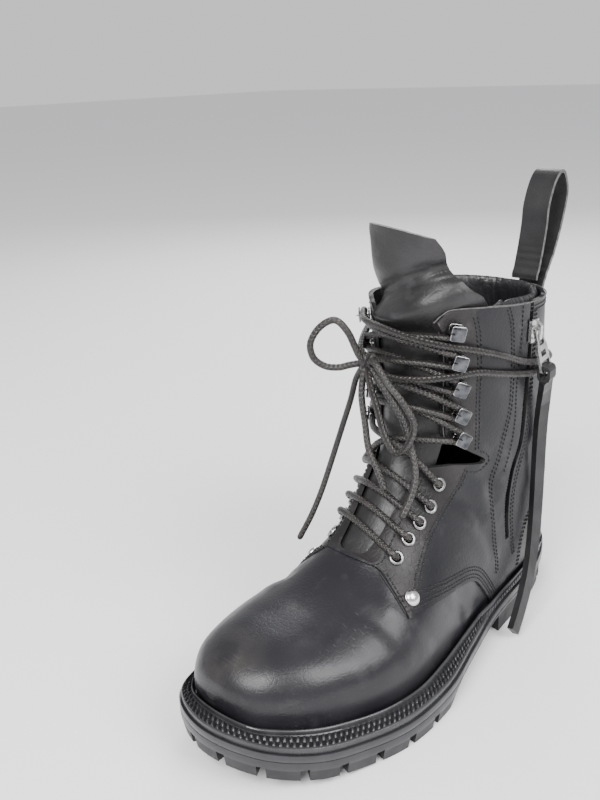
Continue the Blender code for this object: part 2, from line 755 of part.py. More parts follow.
def make_sole():
    """Outsole with lugs, heel block, midsole and welt."""
    outline = sole_outline(SOLE_POINTS)
    bulged = widened(outline, BULGE)
    levels = [(bulged, outsole_top), (bulged, outsole_band), (outline, outsole_foot)]
    outsole = slab("outsole", levels, RUBBER)
    combine(outsole, side_grooves("lug_grooves", -0.51, -0.12, 0.021), "DIFFERENCE")
    combine(outsole, middle_grooves(), "DIFFERENCE")
    slab("midsole", [(outline, midsole_top), (bulged, midsole_foot)], RUBBER)
    make_welt(outline)
    make_heel()


def side_grooves(name, low, high, pitch):
    """Grooves between the lugs of an edge, square to it, from low to high along LENGTH."""
    fine = sole_outline(600)
    length = np.linalg.norm(np.roll(fine, -1, axis=0) - fine, axis=1).sum()
    count = int(round(length / pitch))
    forefoot = low < 0.0
    sizes = []
    places = []
    for i in range(count):
        index = int((i + 0.5) * len(fine) / count)
        x, y = fine[index]
        if not low * LENGTH < y < high * LENGTH:
            continue
        along = fine[(index + 2) % len(fine)] - fine[index - 2]
        turn = math.atan2(along[1], along[0])
        top = tread(y) + LUG if forefoot else HEEL_BLOCK * 0.62
        sizes.append((LUG_GROOVE, 2.0 * LUG_DEPTH if forefoot else LUG_DEPTH, 0.03))
        centre = Vector((x, y, top - 0.015))
        places.append(Matrix.Translation(centre) @ Matrix.Rotation(turn, 4, "Z"))
    return boxes(name, sizes, places)


def middle_grooves():
    """Cross grooves between the two rows of middle lugs."""
    sizes = []
    places = []
    for share in (-0.165, -0.235, -0.305, -0.375):
        y = share * LENGTH
        sizes.append((0.030, LUG_GROOVE, 0.03))
        places.append(Matrix.Translation((0.0, y, tread(y) + LUG - 0.015)))
    return boxes("middle_grooves", sizes, places)


def make_heel():
    """Heel block: the outline behind the breast, with grooves of its own."""
    fine = sole_outline(400)
    rear = widened(fine, -0.0002)[fine[:, 1] > BREAST]
    order = np.argsort(np.arctan2(rear[:, 0], rear[:, 1] - BREAST))
    rear = spread(rear[order], 30)
    breast = [(x, BREAST + 0.006 * (1.0 - (x / 0.045) ** 2)) for x in (-0.022, 0.0, 0.022)]
    ring = np.vstack([rear, breast[::-1]])
    rings = [[(x, y, z) for x, y in ring] for z in (0.0, HEEL_BLOCK)]
    heel = loft("heel", rings, RUBBER)
    combine(heel, side_grooves("heel_grooves", 0.20, 0.51, 0.022), "DIFFERENCE")


def make_welt(outline):
    """A flat ledge round the upper with a raised bead against it."""
    count = len(outline)
    away = GAP + FACET + 0.0002
    foot = widened(upper_foot(WELT, count), away)
    rim = widened(upper_foot(0.0, count), away)
    bead = widened(upper_foot(-BEAD_HIGH, count), away)
    rings = []
    for i in range(count):
        top = float(sole_top(outline[i, 1]))
        out = outline[i] - rim[i]
        out = out / np.linalg.norm(out)
        low = float(sole_top(rim[i, 1]))
        crown = bead[i] + out * 0.0004
        back = bead[i] + out * BEAD_WIDE
        toe = rim[i] + out * (BEAD_WIDE + 0.0012)
        section = [
            (*foot[i], low - WELT), (*rim[i], low), (*crown, low + BEAD_HIGH),
            (*back, low + BEAD_HIGH * 0.8), (*toe, low),
            (*outline[i], top), (*outline[i], top - WELT),
        ]
        rings.append(section)
    loft("welt", rings, WELT_RUBBER, closed=True)


def skin_to(ring, grow):
    """The last's skin from the toe to a ring above the collar, moved out by grow."""
    return last_grid(np.linspace(0.0, ring, LAST_RINGS), LAST_POINTS, grow)[0]


def make_upper():
    """One hollow leather wall with the quarters and the zip's flap as steps in it."""
    upper = loft("upper", skin_to(20.40, 0.0), LEATHER)
    wide = 0.2
    front = [from_side(spot) for spot in QUARTER_FRONT]
    lower = [from_side(spot) for spot in QUARTER_EDGE]
    crown = [(wide, -0.05), (wide, 0.30), (-0.10, 0.30), (-0.12, 0.12)]
    # The layers' skins lie close together: the manifold solver joins them cleanly.
    quarter = loft("quarter_layer", skin_to(20.35, QUARTER))
    panel = prism("quarter_outline", lower + crown + front[::-1], -wide, wide)
    combine(quarter, panel, "INTERSECT", "MANIFOLD")
    combine(upper, quarter, "UNION", "MANIFOLD")
    zip_line = [from_side(spot) for spot in ZIP_LINE]
    flap = loft("flap_layer", skin_to(20.30, QUARTER + FLAP))
    crown = [(-0.10, 0.30), (-0.12, 0.12)]
    panel = prism("flap_outline", lower[:-1] + zip_line[::-1] + crown + front[::-1], 0.0, wide)
    combine(flap, panel, "INTERSECT", "MANIFOLD")
    combine(upper, flap, "UNION", "MANIFOLD")
    combine(upper, loft("inside", skin_to(20.60, -WALL)), "DIFFERENCE", "MANIFOLD")
    length = np.linspace(-wide, wide, 41)
    ground = [(y, float(sole_top(y)) - WELT) for y in length] + [(wide, -0.1), (-wide, -0.1)]
    combine(upper, prism("ground", ground, -wide, wide), "DIFFERENCE", "MANIFOLD")
    line = FACING_EDGE + ANKLE_NOTCH + SHAFT_EDGE + COLLAR_EDGE
    mouth = [(-0.19, 0.46), (-0.150, 0.335), *line, (0.60, 1.6), (-0.30, 1.6)]
    outline = [from_side(spot) for spot in mouth]
    combine(upper, prism("throat_and_collar", outline, -wide, wide), "DIFFERENCE", "MANIFOLD")
    combine(upper, zip_slot(), "DIFFERENCE", "MANIFOLD")
    holes = [frame_at(spot, side, 0.0) for side in (1, -1) for spot in EYELETS]
    bore = EYELET_BORE + EYELET_TUBE + HOLE_PLAY
    combine(upper, rods("eyelet_holes", bore, 0.012, holes), "DIFFERENCE", "MANIFOLD")


def zip_path(low, high):
    """Middle of the zip from high to low, as shares from the side, with ZIP_LINE's own bends."""
    heights = np.array([row[1] for row in ZIP_LINE])
    along = np.array([row[0] for row in ZIP_LINE])
    up = [high] + [z for z in heights if low < z < high] + [low]
    shift = (SLOT / 2.0 + 0.0004) / LENGTH
    return [(float(np.interp(-z, -heights, along)) + shift, float(z)) for z in up]


def strip(path, section, side):
    """Rings of a section along a path on the upper: section rows are (across, grow)."""
    spots = [find(place, side) for place in path]
    centre = np.array([point_at(ring, roll)[0] for ring, roll in spots])
    ahead = np.gradient(centre, axis=0)
    rings = []
    for i, (ring, roll) in enumerate(spots):
        out = point_at(ring, roll)[1]
        across = np.cross(ahead[i], out)
        across /= np.linalg.norm(across)
        corners = []
        for distance, grow in section:
            target = centre[i] + across * distance
            share = target[1] / LENGTH
            level = (target[2] - float(sole_top(target[1]))) / UPPER_HEIGHT
            near_ring, near_roll = find((share, level), side)
            corners.append(point_at(near_ring, near_roll, grow)[0])
        rings.append(corners)
    return rings


def zip_slot():
    """The slot for the zip, cut through the outer flank."""
    half = SLOT / 2.0
    section = [(-half, -0.008), (half, -0.008), (half, 0.008), (-half, 0.008)]
    return loft("zip_slot", strip(zip_path(ZIP_FOOT, 1.03), section, 1))


def make_zip():
    """Tape with its row of teeth, slider, and the tab on its hinge."""
    top = -WALL - GAP - 0.0006
    teeth = TEETH / 2.0
    section = [
        (-TAPE_WIDE, top - TAPE), (0.0, top - TAPE), (TAPE_WIDE, top - TAPE), (TAPE_WIDE, top),
        (teeth, top), (teeth, 0.0002), (-teeth, 0.0002), (-teeth, top), (-TAPE_WIDE, top),
    ]
    loft("zip_tape", strip(zip_path(ZIP_FOOT + 0.012, ZIP_TOP), section, 1), TAPE_CLOTH)
    seat = frame_at(zip_path(0.0, SLIDER_AT)[0], 1, QUARTER + FLAP + GAP + 0.0003)
    seat = seat @ Matrix.Rotation(math.radians(SLIDER_TURN), 4, "Z")
    lift = SLIDER_BODY
    half = SLIDER_LONG / 2.0
    arch = [
        (-half, 0.0), (half, 0.0), (half, lift), (half - 1.8e-3, lift + 2.6e-3),
        (half - 3.4e-3, lift + 4.2e-3), (-half + 2.6e-3, lift + 4.2e-3),
        (-half + 0.9e-3, lift + 2.6e-3), (-half, lift),
    ]
    eye = [
        (-half + 2.4e-3, lift), (half - 3.2e-3, lift), (half - 3.4e-3, lift + 1.8e-3),
        (half - 4.2e-3, lift + 2.8e-3), (-half + 3.2e-3, lift + 2.8e-3),
        (-half + 2.4e-3, lift + 1.8e-3),
    ]
    upright = seat @ Matrix(((0, 0, 1, 0), (1, 0, 0, 0), (0, 1, 0, 0), (0, 0, 0, 1)))
    slider = solid(flat("zip_slider", [arch, eye], SLIDER_ARCH, upright, NICKEL))
    middle = seat @ Matrix.Translation((0.0, 0.0, lift / 2.0))
    wide = box("slider_body", (SLIDER_WIDE, SLIDER_LONG - 0.0006, lift - 0.0001), middle)
    combine(slider, wide, "UNION")
    bar = 1.8e-3
    axis = (half - 3.2e-3 - bar / 2.0 - 1.1e-3, lift + 1.45e-3)
    hinge = seat @ Matrix.Translation((0.0, axis[0], axis[1]))
    hinge = hinge @ Matrix.Rotation(math.radians(TAB_SWING), 4, "Z")
    hinge = hinge @ Matrix.Rotation(math.radians(-TAB_TILT), 4, "X")
    make_tab(hinge, bar)
    make_strap(hinge)


def make_tab(hinge, bar):
    """The pull tab: a flat plate on the hinge's line, with an eye above and a slot below."""
    half = TAB_WIDE / 2.0
    neck = half * 0.74
    outline = [
        (-neck, bar / 2.0), (neck, bar / 2.0), (neck, -0.30 * TAB_LONG), (half, -0.42 * TAB_LONG),
        (half, -TAB_LONG + 0.0015), (half - 0.0015, -TAB_LONG), (-half + 0.0015, -TAB_LONG),
        (-half, -TAB_LONG + 0.0015), (-half, -0.42 * TAB_LONG), (-neck, -0.30 * TAB_LONG),
    ]
    eye = [(-0.0030, -bar / 2.0), (0.0030, -bar / 2.0), (0.0030, -0.0102), (-0.0030, -0.0102)]
    slot_half = STRAP_WIDE / 2.0 + 0.0006
    low = -TAB_LONG + 0.0022
    high = low + 0.0054
    slot = [(-slot_half, high), (slot_half, high), (slot_half, low), (-slot_half, low)]
    window = [(-0.0030, -0.0135), (0.0030, -0.0135), (0.0030, -0.0170), (-0.0030, -0.0170)]
    flat("zip_pull", [outline, eye, window, slot], TAB_SHEET, hinge, NICKEL)


def make_strap(hinge):
    """The leather strap: an eye through the tab's slot, then a folded strip that hangs."""
    bar_middle = -TAB_LONG + 0.0011
    depth = TAB_SHEET + STRAP_EYE * 0.5
    place = hinge @ Matrix.Rotation(math.radians(TAB_TILT), 4, "X")
    tilt = math.radians(TAB_TILT)
    drop = bar_middle * math.cos(tilt)
    stand = -bar_middle * math.sin(tilt)
    centre = place @ Matrix.Translation((0.0, drop - 0.0012, stand + 0.0004))
    turn = centre @ Matrix(((0, 0, 1, 0), (1, 0, 0, 0), (0, 1, 0, 0), (0, 0, 0, 1)))
    sheet = 0.0018
    tall = 0.0034
    inner = rounded(tall, depth / 2.0)
    outer = rounded(tall + sheet, depth / 2.0 + sheet)
    eye = solid(flat("zip_strap", [outer, inner], STRAP_WIDE, turn, STRAP_LEATHER))
    start = turn @ Vector((-tall - sheet * 0.45, 0.0, 0.0))
    line = [tuple(start)] + STRAP_LINE[1:]
    path = smooth_line(line, 16)
    hanging = loft("strap_fall", ribbon(path, STRAP_WIDE, STRAP_THICK, (1.0, -0.25, 0.0)))
    combine(eye, hanging, "UNION")


def rounded(half_long, half_wide):
    """An outline with round ends."""
    points = []
    for step in range(12):
        angle = 2.0 * math.pi * (step + 0.5) / 12.0
        x = half_long * math.copysign(abs(math.cos(angle)) ** 0.6, math.cos(angle))
        y = half_wide * math.copysign(abs(math.sin(angle)) ** 0.6, math.sin(angle))
        points.append((x, y))
    return points


def ribbon(path, width, thickness, out):
    """Rings of a flat strap along a path; out is the way its face looks."""
    ahead = np.gradient(path, axis=0)
    rings = []
    for spot, way in zip(path, ahead):
        way = way / np.linalg.norm(way)
        face = np.array(out) - way * np.dot(out, way)
        face /= np.linalg.norm(face)
        side = np.cross(way, face)
        corners = ((-0.5, -0.5), (0.5, -0.5), (0.5, 0.5), (-0.5, 0.5))
        rings.append([spot + side * a * width + face * b * thickness for a, b in corners])
    return rings


def make_tongue():
    """One sheet under the facings, wide at the collar and flared above it."""
    columns = 8
    outer = -WALL - GAP - FACET - 0.0003
    rows = []
    for name, ring, half_width in TONGUE_LOW:
        row = []
        for j in range(columns + 1):
            reach = half_width * (2.0 * j / columns - 1.0)
            row.append(walk(ring * STEP, reach))
        spots = [point_at(ring * STEP, roll, outer)[0] for roll in row]
        rows.append(list(zip(spots, (point_at(ring * STEP, roll)[1] for roll in row))))
    top_ring = 20.0 * STEP
    for name, rise, half_width, back, inner_forward in TONGUE_HIGH:
        row = []
        for j in range(columns + 1):
            part = 2.0 * j / columns - 1.0
            roll = walk(top_ring, half_width * part)
            spot, out = point_at(top_ring, roll, outer)
            below = point_at(top_ring - 5.0, roll, outer)[0]
            up = (spot - below) / np.linalg.norm(spot - below)
            spot = spot + up * rise
            spot[1] += back - inner_forward * max(0.0, -part)
            spot[2] -= 0.006 * abs(part) ** 4 * (1.0 if name == "top" else 0.0)
            row.append((spot, out))
        rows.append(row)
    loft_sheet("tongue", rows, TONGUE, TONGUE_LEATHER)


def walk(ring, reach):
    """Roll at a distance round a ring from the front, inner side negative."""
    roll = 0.0
    side = 1.0 if reach >= 0.0 else -1.0
    left = abs(reach)
    while left > 1e-9:
        near = read_grid(SKIN, ring, roll)
        far = read_grid(SKIN, ring, roll + side)
        length = np.linalg.norm(far - near)
        part = min(1.0, left / length)
        roll += side * part
        left -= length * part
    return roll


def loft_sheet(name, rows, thickness, finish):
    """A sheet from rows of points and ways out: its outer face, and its inner one behind."""
    count = len(rows)
    wide = len(rows[0])
    outer = [spot for row in rows for spot, _ in row]
    inner = [spot - out * thickness for row in rows for spot, out in row]
    behind = count * wide
    faces = []
    for i in range(count - 1):
        for j in range(wide - 1):
            corner = i * wide + j
            square = (corner, corner + 1, corner + wide + 1, corner + wide)
            faces.append(square)
            faces.append(tuple(behind + index for index in square[::-1]))
    rim = [j for j in range(wide)]
    rim += [i * wide + wide - 1 for i in range(1, count)]
    rim += [(count - 1) * wide + j for j in range(wide - 2, -1, -1)]
    rim += [i * wide for i in range(count - 2, 0, -1)]
    for here, after in zip(rim, rim[1:] + rim[:1]):
        faces.append((here, after, behind + after, behind + here))
    return body(name, outer + inner, faces, finish)


def make_collar_pad():
    """A padded roll inside the collar, from one wing of the tongue round to the other."""
    start = walk(18.0 * STEP, 0.064)
    end = walk(18.0 * STEP, -0.064) + FINE
    rings = []
    for roll in np.linspace(start, end, 18):
        column = np.array([read_grid(SKIN, ring, roll) for ring in np.arange(150.0, 203.0)])
        y, top = collar_height(column)
        rings.append([])
        for step in range(6):
            angle = 2.0 * math.pi * step / 6.0
            height = top + (PAD_HIGH - PAD_LOW) / 2.0 + (PAD_HIGH + PAD_LOW) / 2.0 * math.cos(angle)
            grow = -PAD_OUT - PAD_THICK / 2.0 * (1.0 + math.sin(angle))
            ring = 150.0 + float(np.interp(height, column[:, 2], np.arange(len(column))))
            rings[-1].append(point_at(ring, roll, grow)[0])
    loft("collar_pad", rings, LINING)


def collar_height(column):
    """Where a column of the last meets the collar's edge."""
    edge = np.array([from_side(place) for place in COLLAR_EDGE])
    over = column[:, 2] - np.interp(column[:, 1], edge[:, 0], edge[:, 1])
    index = int(np.argmin(np.abs(over)))
    return column[index, 1], column[index, 2]


def make_pull_loop():
    """A strap in a tall drop-shaped loop at the back of the collar."""
    path = smooth_line([(LOOP_BACK * LENGTH + y, COLLAR + z) for y, z in LOOP_LINE], 20)
    ahead = np.gradient(path, axis=0)
    ahead /= np.linalg.norm(ahead, axis=1, keepdims=True)
    out = np.stack([ahead[:, 1], -ahead[:, 0]], axis=1) * LOOP_STRAP / 2.0
    outline = [tuple(spot) for spot in np.vstack([path + out, (path - out)[::-1]])]
    prism("pull_loop", outline, LOOP_X - LOOP_WIDTH / 2.0, LOOP_X + LOOP_WIDTH / 2.0, STRAP_LEATHER)


def make_insole():
    """A board inside the upper, on the midsole."""
    ring = widened(feather(WELT, 36, -WALL), -GAP - 4.5 * FACET)

    def top(y):
        """Height of the board's upper face."""
        return float(sole_top(y)) - WELT + INSOLE

    def foot(y):
        """Height of the board's lower face."""
        return float(sole_top(y)) - WELT

    slab("insole", [(ring, top), (ring, foot)], BOARD, across=2)


def make_eyelets():
    """Five rings a side, each through its hole."""
    tube = EYELET_BORE + EYELET_TUBE
    rim = EYELET_RIM
    high = EYELET_RIM_HIGH
    for side, flank in ((1, "outer"), (-1, "inner")):
        deep = GAP + skin_level(side) + WALL - 0.0001
        profile = [
            (EYELET_BORE, high), (rim, high * 0.6), (rim, 0.0), (tube, 0.0), (tube, -deep),
            (EYELET_BORE, -deep),
        ]
        for number, place in enumerate(EYELETS, 1):
            spot = frame_at(place, side, skin_level(side) + GAP + 0.0005)
            turned(f"eyelet_{flank}_{number}", profile, spot, NICKEL, steps=8)


def make_rivets():
    """A dome a side at the lower corner of the quarters."""
    profile = [(0.0, RIVET_HIGH)]
    for angle in (35.0, 70.0):
        reach = math.radians(angle)
        profile.append((RIVET * math.sin(reach), RIVET_HIGH * math.cos(reach)))
    profile += [(RIVET, 0.0003), (RIVET, 0.0), (0.0, 0.0)]
    for side, flank in ((1, "outer"), (-1, "inner")):
        spot = frame_at(RIVET_AT, side, skin_level(side) + GAP + 0.0002)
        turned(f"rivet_{flank}", profile, spot, NICKEL)


def make_hooks():
    """Five open hooks a side: base, bend on the throat's side, square plate over the lace."""
    half = HOOK_PLATE / 2.0
    sheet = HOOK_SHEET
    over = sheet + HOOK_THROAT
    outline = [
        (-half + 0.0012, 0.0), (half, 0.0), (half, sheet), (-half + 0.0016, sheet),
        (-half + sheet, sheet + 0.0008), (-half + sheet, over - 0.0008), (-half + 0.0016, over),
        (half, over), (half, over + sheet), (-half + 0.0012, over + sheet),
        (-half, over + sheet - 0.0010), (-half, 0.0010),
    ]
    stand = Matrix(((1, 0, 0, 0), (0, 0, -1, 0), (0, 1, 0, 0), (0, 0, 0, 1)))
    for side, flank in ((1, "outer"), (-1, "inner")):
        for number, place in enumerate(HOOKS, 1):
            spot = frame_at(place, side, skin_level(side) + GAP + 0.0004)
            flat(f"hook_{flank}_{number}", [outline], HOOK_PLATE, spot @ stand, GUNMETAL)


def cord(name, points, count, radius=CORD / 2.0, finish=LACE):
    """A round cord through a few points."""
    shape = bpy.data.curves.new(name, "CURVE")
    shape.dimensions = "3D"
    shape.bevel_depth = radius
    shape.bevel_resolution = 2
    shape.use_fill_caps = True
    spline = shape.splines.new("POLY")
    line = smooth_line([tuple(point) for point in points], count)
    spline.points.add(count - 1)
    for point, place in zip(spline.points, line):
        point.co = (*place, 1.0)
    return keep(bpy.data.objects.new(name, shape), finish)


def over_tongue(start, end, lift):
    """Points of a lace from the outer to the inner facing, over the edges and the tongue."""
    low = -WALL - GAP + GAP + CORD / 2.0
    points = []
    for part in np.linspace(0.0, 1.0, 7):
        ring = start[0] + (end[0] - start[0]) * part
        roll = start[1] + (end[1] - start[1]) * part
        side = 1 if roll > 0.0 else -1
        edge = skin_level(side) + GAP + CORD / 2.0 + 0.0002
        rise = min(1.0, abs(2.0 * part - 1.0) * 1.5) ** 1.5
        points.append(point_at(ring, roll, low + (edge - low) * rise + lift)[0])
    return points


def lace_end(place, side, away, up=0.0):
    """Where a lace stops on the throat's side of an eyelet or hook, up or down from it."""
    ring, roll = find(place, side)
    step = np.linalg.norm(read_grid(SKIN, ring + 0.5, roll) - read_grid(SKIN, ring - 0.5, roll))
    ring += up / step
    return (ring, moved(ring, roll, -away))


def make_laces():
    """Bars and crossings over the tongue, two turns round the ankle, knot, bow and ends."""
    by_eyelet = EYELET_RIM + 0.0008
    by_hook = HOOK_PLATE / 2.0 + 0.0028
    apart = CORD / 2.0 + GAP
    for row in range(4):
        start = lace_end(EYELETS[row], 1, by_eyelet)
        end = lace_end(EYELETS[row + 1], -1, by_eyelet, -apart if row == 3 else 0.0)
        cord(f"lace_bar_{row + 1}", over_tongue(start, end, 0.0), 6)
    rows = [EYELETS[4]] + HOOKS
    for row in range(5):
        away = by_eyelet if row == 0 else by_hook
        pair = []
        for side in (1, -1):
            start = lace_end(rows[row], side, away, apart)
            end = lace_end(rows[row + 1], -side, by_hook, -apart)
            if side < 0:
                start, end = end, start
            path = over_tongue(start, end, 0.0002)
            finish = LACE if side > 0 else None
            pair.append(cord(f"lace_cross_{row + 1}_half", path, 6, finish=finish))
        first = solid(pair[0])
        first.name = f"lace_cross_{row + 1}"
        combine(first, solid(pair[1]), "UNION")
    for number, turn in enumerate((TURN_1, TURN_2), 1):
        rows = []
        for side, along, up, lift in turn:
            ring, roll = find((along, up), side)
            behind = bool(rows) and rows[-1][1] > FINE / 4.0
            rows.append((ring, roll + FINE if side < 0 and behind else roll, lift))
        points = []
        for ring, roll, lift in through(rows, np.linspace(0.0, len(rows) - 1.0, 60)):
            side = 1 if 0.0 < roll < FINE / 2.0 else -1
            level = skin_level(side) + GAP + CORD / 2.0 + FACET + lift
            points.append(point_at(ring, roll, level)[0])
        cord(f"lace_turn_{number}", points, 26)
    knot = bpy.data.meshes.new("lace_knot")
    shape = bmesh.new()
    bmesh.ops.create_uvsphere(shape, u_segments=8, v_segments=6, radius=1.0)
    bmesh.ops.scale(shape, vec=KNOT_SIZE, verts=shape.verts)
    shape.to_mesh(knot)
    shape.free()
    made = bpy.data.objects.new("lace_knot", knot)
    made.location = KNOT_AT
    keep(made, LACE)
    cord("lace_loop_out", LOOP_OUT, 12)
    cord("lace_loop_down", LOOP_DOWN, 12)
    cord("lace_end_near", END_NEAR, 8)
    cord("lace_end_middle", END_MIDDLE, 8)
    cord("lace_end_far", END_FAR, 7, radius=0.0018)


def centre_on_box():
    """Put the frame's origin under the middle of the boot's box, free cords left out."""
    bpy.context.view_layer.update()
    graph = bpy.context.evaluated_depsgraph_get()
    low = np.full(3, np.inf)
    high = np.full(3, -np.inf)
    for thing in PIECES.objects:
        if thing.type == "EMPTY" or thing.name in FREE_CORDS:
            continue
        shown = thing.evaluated_get(graph)
        mesh = shown.to_mesh()
        for vertex in mesh.vertices:
            spot = thing.matrix_world @ vertex.co
            low = np.minimum(low, spot)
            high = np.maximum(high, spot)
        shown.to_mesh_clear()
    BOOT.location = (-(low[0] + high[0]) / 2.0, -(low[1] + high[1]) / 2.0, -low[2])


FREE_CORDS = (
    "lace_knot", "lace_loop_out", "lace_loop_down", "lace_end_near", "lace_end_middle",
    "lace_end_far",
)

make_sole()
make_insole()
make_upper()
make_tongue()
make_collar_pad()
make_pull_loop()
make_eyelets()
make_rivets()
make_hooks()
make_zip()
make_laces()
centre_on_box()
bpy.context.view_layer.update()
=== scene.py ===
# Looks for the left combat boot: leather, stitches, laces, zip and lugged sole over the CAD
# frame. Metres. Places on the boot are in the boot's own axes, or shares of LENGTH and of
# UPPER_HEIGHT as seen from the side, and SHIFT takes them to the frame.

import math

import bmesh
import bpy
import numpy as np
from mathutils import Matrix, Vector, noise


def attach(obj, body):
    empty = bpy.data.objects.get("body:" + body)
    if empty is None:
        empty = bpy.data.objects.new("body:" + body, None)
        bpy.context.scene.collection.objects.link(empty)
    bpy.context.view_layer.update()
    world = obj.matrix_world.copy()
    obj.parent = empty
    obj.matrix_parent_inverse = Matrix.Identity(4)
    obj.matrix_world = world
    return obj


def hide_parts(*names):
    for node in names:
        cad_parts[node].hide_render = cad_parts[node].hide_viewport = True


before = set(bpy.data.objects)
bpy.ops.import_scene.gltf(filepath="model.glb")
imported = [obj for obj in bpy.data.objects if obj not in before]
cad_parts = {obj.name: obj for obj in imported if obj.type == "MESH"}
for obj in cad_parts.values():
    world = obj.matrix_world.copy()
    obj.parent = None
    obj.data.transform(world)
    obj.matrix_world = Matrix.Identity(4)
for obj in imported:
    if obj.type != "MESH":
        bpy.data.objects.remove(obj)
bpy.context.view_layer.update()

# Driving sizes of the boot.
LENGTH = 0.310
BALL = 0.121
COLLAR = 0.217
HEEL = 0.025
FORE = 0.020
SPRING = 0.013
UPPER_HEIGHT = COLLAR - HEEL
GAP = 0.0003

# Leather: the wall, the quarters that lie on it, the flap that lies on them before the zip.
WALL = 0.0015
QUARTER = 0.0010
FLAP = 0.0005

# Sole, top to bottom.
WELT = 0.0035
BEAD_HIGH = 0.0026
BEAD_WIDE = 0.0024
MIDSOLE = 0.0042
ARCH = 0.0105
HEEL_BLOCK = 0.0115
LUG = 0.0075
LUG_GROOVE = 0.0048
LUG_DEPTH = 0.016
LUG_PITCH = 0.021
HEEL_LUG_PITCH = 0.022
MIDDLE_GROOVES = (-0.165, -0.235, -0.305, -0.375)
MIDDLE_GROOVE = 0.030
CUTTER = 0.03
BULGE = 0.0014
BREAST = 0.046

# Fittings.
EYELET_BORE = 0.0022
EYELET_TUBE = 0.0007
EYELET_RIM = 0.0043
EYELET_RIM_HIGH = 0.0011
EYELET_HOLE = 0.0032
RIVET = 0.0045
RIVET_HIGH = 0.0026
HOOK_PLATE = 0.0086
HOOK_SHEET = 0.0010
HOOK_THROAT = 0.0047
HOOK_CORNER = 0.0014
HOOK_BASE = 0.94
HOOK_BASE_CORNER = 0.0016
HOOK_BEND = 0.0022
HOOK_NECK = 0.0046
CORD = 0.0040
FAR_CORD = 0.0036
KNOT_CORD = 0.0038
KNOT_TURNS = 2.3
STRAND = 0.00042
STRANDS = 6.0
TONGUE = 0.0020
PAD_OUT = 0.0031
PAD_THICK = 0.0064
PAD_LOW = 0.026
PAD_HIGH = 0.003
PAD_GAP = 0.064
LOOP_WIDTH = 0.018
LOOP_X = 0.0090
LOOP_STRAP = 0.0022
LOOP_BACK = 0.42
SLOT = 0.0052
SLOT_DEEP = 0.008
TOOTH = (0.0026, 0.00084, 0.0014)
TOOTH_REACH = 0.0006
TAPE_SHEET = 0.0008
TAPE_WIDE = 0.0085

# The last, a row per ring. Each ring runs from a point on the instep or shin (top) to one
# on the sole or heel (back); its flanks bulge outer and inner from the middle plane, widest
# at the share wide of the way down, with superellipse powers round_top and round_low.
LAST = [
    # name, top_y, top_z, back_y, back_z, outer, inner, middle, wide, round_top, round_low
    ("tip", -0.463, 0.052, -0.463, 0.032, 0.025, 0.025, -0.074, 0.50, 2.0, 2.0),
    ("toe_1", -0.457, 0.095, -0.458, 0.00, 0.116, 0.104, -0.074, 0.52, 2.1, 2.6),
    ("toe_2", -0.438, 0.136, -0.444, -0.035, 0.22, 0.175, -0.074, 0.58, 2.2, 3.6),
    ("toe_3", -0.404, 0.172, -0.41, -0.04, 0.305, 0.25, -0.07, 0.62, 2.3, 5.0),
    ("toe_4", -0.358, 0.20, -0.365, -0.045, 0.375, 0.305, -0.06, 0.62, 2.3, 6.0),
    ("cap", -0.303, 0.22, -0.31, -0.045, 0.425, 0.35, -0.05, 0.62, 2.25, 6.0),
    ("ball", -0.245, 0.24, -0.242, -0.045, 0.463, 0.375, -0.033, 0.64, 2.2, 6.0),
    ("vamp", -0.194, 0.267, -0.16, -0.045, 0.475, 0.365, -0.017, 0.68, 2.15, 6.0),
    ("waist_1", -0.150, 0.31, -0.07, -0.045, 0.445, 0.34, -0.008, 0.70, 2.1, 6.0),
    ("waist_2", -0.110, 0.372, 0.032, -0.05, 0.40, 0.30, 0.0, 0.70, 2.05, 6.0),
    ("instep", -0.072, 0.44, 0.142, -0.05, 0.365, 0.30, 0.0, 0.68, 2.0, 5.5),
    ("seat_1", -0.045, 0.50, 0.258, -0.05, 0.345, 0.30, 0.0, 0.64, 2.0, 5.0),
    ("seat_2", -0.024, 0.55, 0.355, -0.05, 0.33, 0.305, 0.0, 0.60, 2.0, 4.2),
    ("heel", -0.008, 0.60, 0.435, -0.05, 0.32, 0.31, 0.0, 0.56, 2.1, 3.2),
    ("counter_1", 0.002, 0.65, 0.461, 0.07, 0.318, 0.314, 0.0, 0.53, 2.15, 2.6),
    ("counter_2", 0.009, 0.705, 0.469, 0.19, 0.322, 0.322, 0.0, 0.51, 2.2, 2.4),
    ("ankle", 0.013, 0.763, 0.461, 0.32, 0.326, 0.33, 0.0, 0.50, 2.2, 2.3),
    ("shaft_1", 0.015, 0.82, 0.447, 0.455, 0.33, 0.34, 0.0, 0.50, 2.25, 2.3),
    ("shaft_2", 0.014, 0.88, 0.432, 0.595, 0.333, 0.345, 0.0, 0.50, 2.3, 2.3),
    ("shaft_3", 0.012, 0.94, 0.420, 0.745, 0.333, 0.35, 0.0, 0.50, 2.3, 2.3),
    ("collar", 0.008, 1.014, 0.408, 0.943, 0.335, 0.355, 0.0, 0.50, 2.3, 2.3),
]

# The sole seen from above, a row per cross line: places along LENGTH, half widths of BALL.
SOLE = [
    # name, along, outer, inner
    ("heel_tip", 0.50, 0.0, 0.0),
    ("heel_1", 0.47, 0.156, 0.166),
    ("heel_2", 0.42, 0.247, 0.266),
    ("heel_3", 0.35, 0.320, 0.322),
    ("seat", 0.25, 0.364, 0.340),
    ("waist_1", 0.12, 0.405, 0.346),
    ("waist_2", 0.0, 0.474, 0.352),
    ("ball_1", -0.12, 0.540, 0.418),
    ("ball_2", -0.22, 0.542, 0.455),
    ("toe_1", -0.32, 0.480, 0.432),
    ("toe_2", -0.40, 0.403, 0.374),
    ("toe_3", -0.46, 0.274, 0.288),
    ("toe_tip", -0.50, -0.049, 0.049),
]

